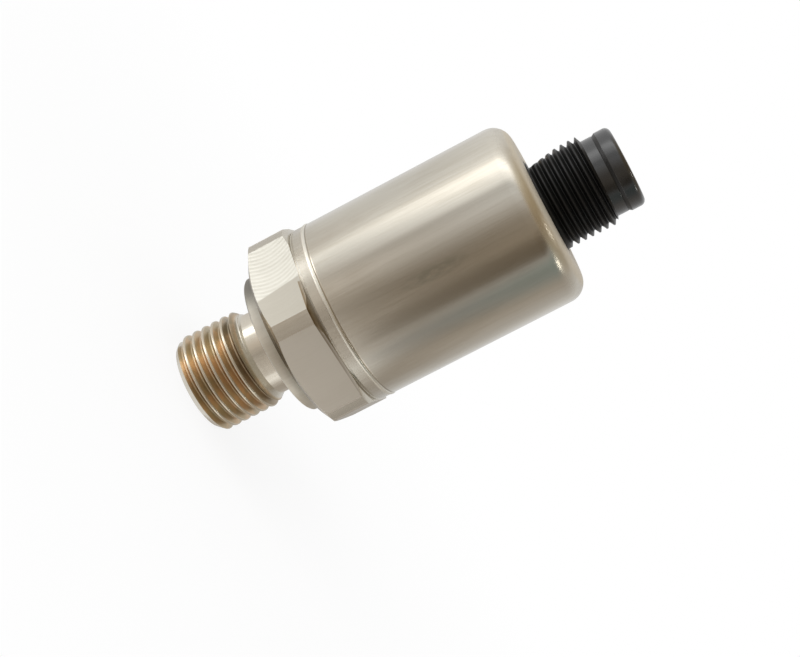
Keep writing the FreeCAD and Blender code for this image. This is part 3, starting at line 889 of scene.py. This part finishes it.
    def milled_steel(self) -> Material:
        """Steel of the flats, with the curved marks of the milling cutter on the fresh pass and painted shade
        at their rear ends behind the hexagon.
        """
        bench = ShaderBench.named("milled_steel")
        colour, roughness, normal = SteelFinish(roughness=0.42, streak_tone=0.25).body(bench)
        flat, middle = self.across_flats / 2, (self.hex_start + self.relief_start) / 2
        arcs = []
        for k in range(FLATS):
            on_flat = bench.towards(FLAT_TURN * k).rise(flat - 0.4 * MM, flat - 0.15 * MM)
            across, along = bench.towards(FLAT_TURN * k - 90), bench.z - middle
            phase = across - along * along * (0.5 / self.cutter_radius)
            wave = (phase * (math.tau / self.feed)).sine() * 0.5 + 0.5
            arcs.append(wave * on_flat * (1.0 if k == self.deep_flat else 0.25))
        deep = bench.towards(FLAT_TURN * self.deep_flat).rise(11.0 * MM, 11.6 * MM)
        slant = bench.towards(FLAT_TURN * self.deep_flat - 90) + (self.relief_end - bench.z) * self.flat_slant
        fresh = slant.rise(self.flat_edge - 0.12 * MM, self.flat_edge + 0.12 * MM) * deep
        marks = sum(arcs[1:], arcs[0]) * (0.25 + fresh * 0.75)
        fine = bench.noise((600.0, 600.0, 600.0), detail=3.0)
        worn = bench.noise((240.0, 240.0, 200.0), detail=3.0).rise(0.35, 0.7)
        # the last layer is painted shade in the corner behind the hexagon
        colour = bench.layered(
            colour, (0.6 + worn * 0.3, (0.61, 0.57, 0.505)), (deep * 0.9, (0.33, 0.31, 0.265)),
            (fresh, (0.56, 0.545, 0.49)), (marks * (0.05 + fine * 0.6), (0.42, 0.40, 0.34)),
            (self.painted_corner_shade(bench), self.corner_shade_tone))
        return bench.metal(colour, roughness + (marks - 0.5) * 0.06,
                           bench.bumped(marks * (0.25 + fine), 1.5e-5, normal))

    def thread_steel(self) -> Material:
        """Steel of the stud, brown in the thread's grooves where the cutting lubricant has dried, with
        painted shade in the deeper last groove.
        """
        bench = ShaderBench.named("thread_steel")
        colour, roughness, normal = SteelFinish(roughness=0.24).body(bench)
        crest = self.thread.crest_radius
        groove = bench.radius.rise(crest - 0.02 * MM, crest - 0.18 * MM)
        reach = bench.z.band(self.lead_length, self.thread_end - 0.1 * MM, 0.3 * MM)
        # painted shade in the last, deeper groove of the run-out
        last_groove_shade = bench.z.band(7.3 * MM, 8.3 * MM, 0.4 * MM)
        patches = bench.noise((330.0, 330.0, 500.0), detail=4.0, warp=0.5)
        rusty = patches.rise(0.42, 0.62) * bench.z.rise(2.0 * MM, 7.5 * MM)
        stain = bench.layered(self.stain, (patches.rise(0.36, 0.66), (0.44, 0.365, 0.235)),
                              (rusty * 0.35, (0.36, 0.31, 0.21)), (last_groove_shade * 0.6, (0.17, 0.14, 0.095)))
        colour = bench.layered(colour, (reach * 0.5, (0.50, 0.42, 0.30)),
                               (groove * reach * (0.55 + patches * 0.6), stain))
        return bench.metal(colour, roughness + groove * reach * 0.12, normal)


# ---- can
@dataclass
class DrawnCan:
    """Deep-drawn steel can with a rounded closed end, a pierced hole and a rim on the collar."""

    radius: float = 12.0 * MM
    wall: float = 0.7 * MM
    corner: float = 2.6 * MM
    rim_height: float = 0.1 * MM
    rim_length: float = 0.45 * MM
    groove_depth: float = 0.04 * MM  # fine groove behind the rim
    groove_ends: tuple[float, ...] = (0.05 * MM, 0.13 * MM, 0.22 * MM)  # floor's start and end, its end
    hole_radius: float = 6.33 * MM
    smudge_height: float = 35.2 * MM
    smudge_direction: float = -80.5
    smudge_size: Point = (1.0 * MM, 4.5 * MM)
    record_slot: str = "can_steel"

    def outline(self) -> list[Point]:
        """Outline up the outside, over the closed end and down the inside."""
        low, high = (corner.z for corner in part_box("housing_can"))
        bulge, centre = self.rim_length / 2, self.radius - self.corner
        rim = [(self.radius + (r - self.radius) * self.rim_height / bulge, z)
               for r, z in arc((self.radius, low + bulge), bulge, -90, 90, 8)]
        start, end, rear = (low + self.rim_length + length for length in self.groove_ends)
        groove = self.radius - self.groove_depth
        ceiling, thin = high - self.wall, self.corner - self.wall
        return [
            (self.radius - self.wall, low), *rim, (groove, start), (groove, end), (self.radius, rear),
            *arc((centre, high - self.corner), self.corner, 0, 90, 14), (self.hole_radius, high),
            (self.hole_radius, ceiling), *arc((centre, ceiling - thin), thin, 90, 0, 6)]

    def build(self) -> bpy.types.Object:
        """Turn the can and return the finished object."""
        return turned_piece("housing_can_steel", self.outline()).finish([self.drawn_steel()])

    def drawn_steel(self) -> Material:
        """Steel polished along the axis, duller on the closed end and paler on the rim, with a smudge and
        painted shade in the groove behind the rim.
        """
        low, high = (corner.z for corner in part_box("housing_can"))
        bench = ShaderBench.named("drawn_steel")
        colour, roughness, normal = SteelFinish().body(bench)
        flecks = bench.noise((1500.0, 1500.0, 700.0), detail=3.0)
        aside = bench.towards(self.smudge_direction + 90) / self.smudge_size[0]
        above = (bench.z - self.smudge_height) / self.smudge_size[1]
        facing = bench.towards(self.smudge_direction).rise(0, 6 * MM)
        smudge = (aside * aside + above * above).rise(1.3, 0.0) * facing * flecks.rise(0.25, 0.6)
        behind = low + self.rim_length
        rim = bench.z.band(low, behind, 0.03 * MM)
        # painted shade in the fine groove behind the rim
        painted_groove_shade = bench.z.band(behind + 0.03 * MM, behind + 0.15 * MM, 0.04 * MM)
        end = bench.z.rise(high - self.corner, high - 0.6 * MM)
        lip = bench.z.rise(high - 0.75 * MM, high - 0.25 * MM)
        colour = bench.layered(colour, (smudge * 0.5, (0.25, 0.245, 0.185)), (rim * 0.8, (0.74, 0.71, 0.63)),
                               (painted_groove_shade * 0.6, (0.20, 0.17, 0.12)), (lip * 0.5, (0.60, 0.53, 0.41)))
        roughness = roughness + smudge * 0.06 + rim * 0.2 + end * 0.18 + lip * 0.2
        return bench.metal(colour, roughness, normal, 1 - lip * 0.4)


# ---- plug connector
@dataclass
class PlugConnector:
    """Black moulded shell with a fine thread, a plain nose, a keyed socket and an inner flange."""

    foot: Point = (5.25, 47.4)  # inner edge of the flange's underside, in millimetres
    walls: tuple[Point, ...] = (  # radius and end of each wall from there, in millimetres
        (9.3, 49.3),  # flange
        (8.416, 48.388), (6.58, 49.3),  # groove of the seal
        (6.25, 50.0),  # neck in the can's hole
        (5.985, 57.0))  # thread
    nose: tuple[Point, ...] = ((5.17, 57.35), (5.17, 58.75), (5.12, 58.8), (5.12, 58.9), (5.35, 59.25))
    rim: Point = (4.6, 60.45)  # middle of the rim's round edge, in millimetres
    rim_round: float = 0.75
    socket_foot: tuple[Point, ...] = ((4.3, 48.6), (5.25, 48.6))  # and the recess under the socket
    nose_groove: Point = (58.76 * MM, 59.24 * MM)
    thread: ThreadGroove = ThreadGroove(
        pitch=1.0 * MM, crest_radius=5.985 * MM, depth=0.6 * MM, flank_angle=30.0,
        crest_round=0.05 * MM, root_round=0.1 * MM, crest_height=56.0 * MM, start_direction=-173.9)
    thread_start: float = 50.0 * MM
    thread_end: float = 57.0 * MM
    worn_depth: float = 0.85 * MM  # taken off the crests next to the can, in the start direction
    worn_end: float = 54.8 * MM
    worn_width: float = 12 * MM
    socket_radius: float = 4.3 * MM
    key_width: float = 1.2 * MM
    key_height: float = 0.55 * MM
    key_ends: Point = (53.0 * MM, 60.6 * MM)
    steps: int = 128  # segments round the axis
    edge: float = 0.04 * MM
    edge_angle: float = 25.0
    record_slot: str = "connector_plastic"

    def outline(self) -> list[Point]:
        """Outline up the outside and back down the socket."""
        rim = arc(self.rim, self.rim_round, 0, 90, 7)
        return millimetres([self.foot, *stairs(self.foot[1], self.walls), *self.nose, *rim,
                            *stairs(self.rim[1] + self.rim_round, self.socket_foot[:1]),
                            *self.socket_foot[1:]])

    def key(self) -> Workpiece:
        """Key on the socket's wall, towards +Y."""
        near, far = self.socket_radius - self.key_height, self.socket_radius + self.key_height / 2
        low, high = self.key_ends
        return block_piece("socket_key", [(near, low), (far, low), (far, high), (near, high)],
                           self.key_width, 90.0)

    def worn_side(self) -> Workpiece:
        """Wedge taken off the crests of the thread's first turns on one side."""
        crest, start, end = self.thread.crest_radius, self.thread_start + 0.15 * MM, self.worn_end
        far = crest + 1 * MM
        side = [(crest - self.worn_depth, start), (far, start), (far, end + 0.5 * MM),
                (crest + 0.02 * MM, end)]
        return block_piece("worn_away", side, self.worn_width, self.thread.start_direction)

    def build(self) -> bpy.types.Object:
        """Turn the shell, add the key, break the edges and cut the thread.

        Returns:
            The finished object.
        """
        piece = turned_piece("connector_shell_moulding", self.outline(), self.steps)
        piece.combine(self.key(), Joining.ADD)
        piece.soften(self.edge, self.edge_angle, lambda middle: middle.z > self.thread_start + 0.2 * MM)
        cutter = self.thread.cutter(self.thread_start + 0.6 * MM, self.thread_end + 1 * MM)
        piece.combine(cutter, Joining.CUT)
        piece.combine(self.worn_side(), Joining.CUT)
        nose = MouldedFinish("nose_moulding", (0.004, 0.0045, 0.0045), (0.008, 0.0085, 0.0085),
                             roughness=0.22, shine=1.0)
        thread = MouldedFinish("thread_moulding", (0.004, 0.0038, 0.0035), (0.010, 0.008, 0.006),
                               roughness=0.38, shine=0.32)
        return piece.finish([nose.make(), thread.make()], self.pick)

    def pick(self, face: bpy.types.MeshPolygon) -> int:
        """Material slot of a face: 0 plain moulding, 1 thread or the nose's groove."""
        outside = face.center.xy.length > self.socket_radius + 0.3 * MM
        threaded = self.thread_start < face.center.z < self.thread_end + 0.3 * MM
        grooved = self.nose_groove[0] < face.center.z < self.nose_groove[1]
        return 1 if outside and (threaded or grooved) else 0


# ---- carried-over pieces
@dataclass
class InnerPieces:
    """The CAD nodes that keep their own meshes: contacts, seals, pressure cell, sleeve and circuit."""

    finishes: dict[str, Any] = field(default_factory=lambda: {
        "carrier_plastic": MouldedFinish("carrier_moulding", (0.02, 0.02, 0.021), (0.035, 0.035, 0.036)),
        "contact_gold": PlatedFinish("contact_plating", (0.83, 0.60, 0.25), (0.72, 0.49, 0.20), 0.22),
        "seal_rubber": MattFinish("seal_rubber", (0.018, 0.018, 0.018), (0.03, 0.03, 0.03), 0.55),
        "cell_ceramic": MattFinish("cell_ceramic", (0.86, 0.85, 0.82), (0.80, 0.79, 0.75), 0.5),
        "tinned_metal": PlatedFinish("tinned_metal", (0.72, 0.72, 0.70), (0.6, 0.6, 0.58)),
        "ring_steel": PlatedFinish("ring_steel", (0.33, 0.33, 0.34), (0.24, 0.24, 0.26), 0.35),
        "sleeve_plastic": MouldedFinish("sleeve_moulding", (0.75, 0.72, 0.64), (0.68, 0.64, 0.55)),
        "board_laminate": MattFinish("board_laminate", (0.03, 0.16, 0.07), (0.02, 0.12, 0.05), 0.4),
        "chip_mould": MattFinish("chip_mould", (0.02, 0.02, 0.022), (0.032, 0.032, 0.034), 0.6),
        "capacitor_ceramic": MattFinish("capacitor_ceramic", (0.45, 0.33, 0.22), (0.38, 0.27, 0.18), 0.45),
    })
    replaced: tuple[str, ...] = ("port_body", "housing_can", "connector_shell")

    def dress(self) -> list[str]:
        """Give each carried-over node the material of its slot.

        Returns:
            Names of the dressed nodes.
        """
        made = {slot: finish.make() for slot, finish in self.finishes.items()}
        dressed = []
        for part in frame["record"]["subparts"]:
            name = part["node"]
            if name in self.replaced:
                continue
            for slot in bpy.data.objects[name].material_slots:
                slot.material = made[part["material_slot"]]
            dressed.append(name)
        return dressed


# ---- studio
@dataclass(frozen=True)
class Ring:
    """Tones of the light tent round the object over one range of height.

    Each row holds an angle in degrees from the camera's side towards -X, a brightness, and where it isn't
    neutral a warmth, from -1 for greenish to 1 for brown.
    """

    low: float
    high: float
    rows: tuple[tuple[float, ...], ...]

    def stops(self) -> list[tuple[float, Colour]]:
        """Stops of the colour ramp over a full turn, 0.5 being the camera's side."""
        return [(angle / 360 + 0.5, self.colour(*tone)) for angle, *tone in self.rows]

    @staticmethod
    def colour(level: float, warmth: float = 0.0) -> Colour:
        """Linear colour of a brightness and a warmth."""
        if warmth < 0:
            return (level * (1 + 0.14 * warmth), level, level * (1 + 0.06 * warmth))
        return (level, level * (1 - 0.2 * warmth), level * (1 - 0.42 * warmth))


THREAD_RING = Ring(-0.3, -0.136, (
    (-180, 0.65, 0.3), (-110, 0.62, 0.45), (-84, 1.1, 0.2), (-75, 1.5, 0.1), (-64, 1.4, 0.1),
    (-54, 0.75, 0.35), (-7, 0.6, 0.5), (5, 0.52, 0.5), (33, 0.85, 0.5), (60, 1.5, 0.1), (66, 4.2), (80, 4.2),
    (88, 1.7), (98, 1.3, 0.1), (128, 1, 0.15), (180, 0.65, 0.3)))
STUD_RING = Ring(-0.127, -0.121, (
    (-180, 0.6, 0.3), (-110, 0.57, 0.45), (-95, 0.62, 0.4), (-84, 0.9, 0.2), (-75, 1.05, 0.1),
    (-70, 0.75, 0.3), (-64, 1.05, 0.1), (-56, 0.62, 0.35), (-47, 0.54, 0.5), (-7, 0.5, 0.5), (5, 0.43, 0.5),
    (17, 0.58, 0.5), (33, 0.74, 0.5), (50, 0.85, 0.4), (60, 1.1, 0.1), (66, 2.2), (80, 2.3), (88, 1.4),
    (98, 1.1, 0.1), (128, 1, 0.15), (152, 0.8, 0.3), (180, 0.6, 0.3)))
HEXAGON_RING = Ring(-0.113, -0.091, (
    (-180, 0.42, 0.1), (-130, 0.42, 0.1), (-107, 0.44, 0.2), (-90, 1.05), (-80, 1.6), (-68, 1.7),
    (-60, 1.35, 0.1), (-50, 1.3, 0.12), (-38, 1.35, 0.12), (-20, 1.15, 0.12), (0, 0.86, 0.15),
    (17, 0.66, 0.35), (33, 0.8, 0.4), (50, 0.74, 0.3), (62, 0.8, 0.2), (69, 0.95, 0.1), (71.5, 1.38),
    (77, 1.42), (80, 0.85, 0.1), (94, 0.68, 0.15), (121, 0.72, 0.1), (152, 0.6, 0.1), (180, 0.42, 0.1)))
COLLAR_RING = Ring(-0.076, -0.066, (
    (-180, 0.78), (-152, 0.72), (-129, 0.6, 0.15), (-113, 0.47, 0.45), (-100, 0.44, 0.5), (-90, 0.38, 0.55),
    (-80, 0.31, 0.45), (-66, 0.28, 0.3), (-54, 0.36, 0.45), (-47, 0.24, 0.65), (-32, 0.23, 0.85),
    (-20, 0.32, 0.75), (3, 0.31, 0.7), (10, 0.42, 0.6), (17, 0.54, 0.45), (32, 0.79, 0.25), (39, 0.66, 0.3),
    (46, 0.57, 0.25), (54, 0.76, 0.1), (64, 0.9), (70, 0.95), (79, 1.25), (88, 0.93, 0.1), (112, 0.84, 0.1),
    (150, 0.86), (180, 0.78)))
MIDDLE_RING = Ring(-0.026, -0.022, (
    (-180, 0.82), (-150, 0.76), (-127, 0.57, 0.2), (-113, 0.56, 0.3), (-98, 0.48, 0.45), (-90, 0.43, 0.5),
    (-80, 0.34, 0.3), (-68, 0.31, -0.2), (-54, 0.39, 0.3), (-47, 0.22, 0.7), (-32, 0.21, 0.85),
    (-20, 0.3, 0.7), (-10, 0.24, 0.9), (3, 0.27, 0.7), (17, 0.47, 0.35), (31, 0.67, 0.25), (38, 0.6, 0.25),
    (46, 0.54, 0.25), (51, 0.95), (62, 1.16), (68, 1.38), (80, 1.62), (88, 1.05), (98, 0.97), (112, 0.84),
    (150, 0.86), (180, 0.82)))
HEAD_RING = Ring(0.023, 0.5, (
    (-180, 0.85), (-146, 0.8), (-125, 0.6, 0.15), (-98, 0.46, 0.45), (-80, 0.33, -0.6), (-68, 0.31, -1),
    (-60, 0.38, -0.6), (-53, 0.43, 0.2), (-48, 0.17, 0.9), (-32, 0.18, 1), (-22, 0.34, 0.85), (3, 0.39, 0.6),
    (17, 0.6, 0.25), (31, 0.83), (46, 0.72), (51, 1.3), (62, 1.6), (68, 2.15), (80, 2.2), (85, 1.3),
    (98, 1.08), (124, 0.95), (180, 0.85)))


@dataclass(frozen=True)
class Window:
    """Small bright card in front of the tent."""

    angle: float  # degrees from the camera's side, towards -X
    elevation: float
    width: float
    height: float
    level: float


@dataclass
class Studio:
    """Camera, floor, light tent and lamp."""

    camera_place: tuple[float, float, float] = (18.49, -173.01, 55.55)  # in millimetres, like the aim
    camera_aim: tuple[float, float, float] = (5.258, 0.401, 35.611)
    camera_roll: float = 62.706
    lens: float = 62.609
    shift: tuple[float, float] = (-0.08, -0.04)
    camera_side: float = -83.9  # azimuth of the camera about +Z
    clip: tuple[float, float] = (0.01, 20.0)
    tent_radius: float = 0.5
    tent_low: float = -0.5
    tent_high: float = 0.6
    tent_steps: int = 96
    window_gap: float = 0.02  # from the tent's wall
    window_middle: float = 0.045  # height that the windows' elevations are counted from
    floor_size: float = 6.0
    floor_height: float = -0.02 * MM
    lamp_place: tuple[float, float, float] = (-0.25, -0.35, 0.75)
    lamp_aim: tuple[float, float, float] = (0, 0, 0.03)
    lamp_size: float = 0.5
    lamp_watts: float = 2.0
    rings: tuple[Ring, ...] = (THREAD_RING, STUD_RING, HEXAGON_RING, COLLAR_RING, MIDDLE_RING, HEAD_RING)
    windows: tuple[Window, ...] = (Window(-80, 34, 0.035, 0.09, 8.0), Window(-97, 74, 0.05, 0.03, 12.0))

    def build(self) -> None:
        """Set up everything round the object."""
        self.camera()
        self.world()
        self.floor()
        self.tent()
        self.ceiling()
        for number, window in enumerate(self.windows, 1):
            self.window(f"tent_window_{number}", window)
        self.lamp()
        bpy.context.scene.view_settings.view_transform = "Standard"

    @staticmethod
    def aimed(data: Any, place: Vector, aim: Vector, roll: float = 0.0) -> bpy.types.Object:
        """Put a camera or a lamp in the scene.

        Args:
            data: Its data block, which gives the name.
            place: Where it stands.
            aim: Where it looks.
            roll: Turn about its own line of sight, in degrees.

        Returns:
            The new object.
        """
        made = bpy.data.objects.new(data.name, data)
        bpy.context.scene.collection.objects.link(made)
        made.location = place
        made.rotation_mode = "QUATERNION"
        turn = Quaternion((0, 0, 1), math.radians(roll))
        made.rotation_quaternion = (aim - place).to_track_quat("-Z", "Y") @ turn
        return made

    def camera(self) -> None:
        """Camera that looks a little down on the object, rolled so that the object leans."""
        data = bpy.data.cameras.new("camera")
        data.lens = self.lens
        data.shift_x, data.shift_y = self.shift
        data.clip_start, data.clip_end = self.clip
        place, aim = Vector(self.camera_place) * MM, Vector(self.camera_aim) * MM
        bpy.context.scene.camera = self.aimed(data, place, aim, self.camera_roll)

    def world(self) -> None:
        """White surroundings for the camera and the gloss, plain light for the rest."""
        world = bpy.data.worlds.new("surroundings")
        bpy.context.scene.world = world
        bench = ShaderBench(world)
        rays = bench.node("LightPath", {}, {})
        seen = Signal(bench, rays.outputs["Is Camera Ray"])
        for name in ("Is Glossy Ray", "Is Transmission Ray"):
            seen = seen.at_least(Signal(bench, rays.outputs[name]))
        background = bench.node("Background", {}, {"Color": (1, 1, 1, 1), "Strength": 0.8 + seen * 0.2})
        bench.node("OutputWorld", {}, {"Surface": background.outputs[0]})

    def floor(self) -> None:
        """Pale floor that keeps a soft shadow near the object and runs out to white."""
        Workpiece.rest()
        bpy.ops.mesh.primitive_plane_add(size=self.floor_size, location=(0, 0, self.floor_height))
        floor = bpy.context.object
        floor.name = "studio_floor"
        bench = ShaderBench.named("floor_white")
        camera = Signal(bench, bench.node("LightPath", {}, {}).outputs["Is Camera Ray"])
        plain = bench.node("BsdfDiffuse", {}, {"Color": (0.9, 0.9, 0.9, 1.0)}).outputs[0]
        white = bench.node("Emission", {}, {"Color": (1, 1, 1, 1), "Strength": 1.0}).outputs[0]
        share = camera * (1 - bench.radius.rise(0.16, 0.03) * 0.15)
        floor.data.materials.append(bench.surface({0: share, 1: plain, 2: white}, "MixShader"))
        floor.visible_glossy = False

    def hang(self, card: bpy.types.Object, material: Material) -> None:
        """Light a card for the gloss alone, unseen by the camera and the matt surfaces.

        Args:
            card: The card.
            material: Its light.
        """
        card.data.materials.append(material)
        card.visible_camera = False
        card.visible_diffuse = False
        card.visible_shadow = False

    def tent(self) -> None:
        """Round wall whose tones run from one ring to the next."""
        wall = Workpiece("tent_wall")
        wall.trace([Vector((self.tent_radius, 0, z)) for z in (self.tent_low, self.tent_high)], closed=False)
        wall.turn(self.tent_steps)
        bench = ShaderBench.named("tent_light")
        turn = bench.towards(self.camera_side - 90).turn_from(bench.towards(self.camera_side)) + 0.5
        tones = [bench.node("ValToRGB", {"stops": ring.stops()}, {0: turn}).outputs[0] for ring in self.rings]
        colour = tones[0]
        for below, ring, tone in zip(self.rings, self.rings[1:], tones[1:]):
            colour = bench.mixed(bench.z.ramp(below.high, ring.low), colour, tone)
        colour = bench.mixed(bench.z.rise(0.35, self.tent_high) * 0.5, colour, (0.55, 0.45, 0.32))
        self.hang(wall.made, bench.glow(colour))

    def ceiling(self) -> None:
        """Warm card over the object, brighter towards the tent's bright side."""
        Workpiece.rest()
        bpy.ops.mesh.primitive_circle_add(vertices=self.tent_steps, radius=self.tent_radius,
                                          fill_type="NGON", location=(0, 0, self.tent_high))
        card = bpy.context.object
        card.name = "tent_ceiling"
        card.data.transform(card.matrix_basis)
        card.matrix_basis.identity()
        bench = ShaderBench.named("ceiling_light")
        side = bench.towards(self.camera_side - 90).ramp(-self.tent_radius, self.tent_radius)
        stops = [(0.0, (0.52, 0.48, 0.38)), (0.4, (0.32, 0.24, 0.15)), (0.65, (0.50, 0.40, 0.26)),
                 (1.0, (0.90, 0.85, 0.74))]
        colour = bench.node("ValToRGB", {"stops": stops}, {0: side}).outputs[0]
        self.hang(card, bench.glow(colour))

    def window(self, name: str, window: Window) -> None:
        """One small bright card that faces the object.

        Args:
            name: Name of the card.
            window: Its place, size and brightness.
        """
        angle, rise = self.camera_side - window.angle, math.radians(window.elevation)
        out = heading(angle) * math.cos(rise) + Vector((0, 0, math.sin(rise)))
        along = heading(angle + 90) * (window.width / 2)
        up = out.cross(along).normalized() * (window.height / 2)
        middle = out * (self.tent_radius - self.window_gap) + Vector((0, 0, self.window_middle))
        card = Workpiece(name)
        card.trace([middle - along - up, middle + along - up, middle + along + up, middle - along + up])
        card.edit(bpy.ops.mesh.edge_face_add, select="SELECT")
        self.hang(card.made, ShaderBench.named(name).glow((1.0, 0.97, 0.90), window.level))

    def lamp(self) -> None:
        """One large soft lamp from above and in front."""
        data = bpy.data.lights.new("soft_top", "AREA")
        data.shape = "DISK"
        data.size = self.lamp_size
        data.energy = self.lamp_watts
        self.aimed(data, Vector(self.lamp_place), Vector(self.lamp_aim)).visible_glossy = False


# ---- the whole
def main() -> None:
    """Build the pieces, dress the rest and set up the studio."""
    assemblies = (("port_body", ProcessConnection()), ("housing_can", DrawnCan()),
                  ("connector_shell", PlugConnector()))
    for node, assembly in assemblies:
        piece = assembly.build()
        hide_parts(node)
        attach(piece, "root")
        LOG.info("%s: %d faces", piece.name, len(piece.data.polygons))
    for name in InnerPieces().dress():
        LOG.info("%s: dressed", name)
    Studio().build()


if __name__ == "__main__":
    main()
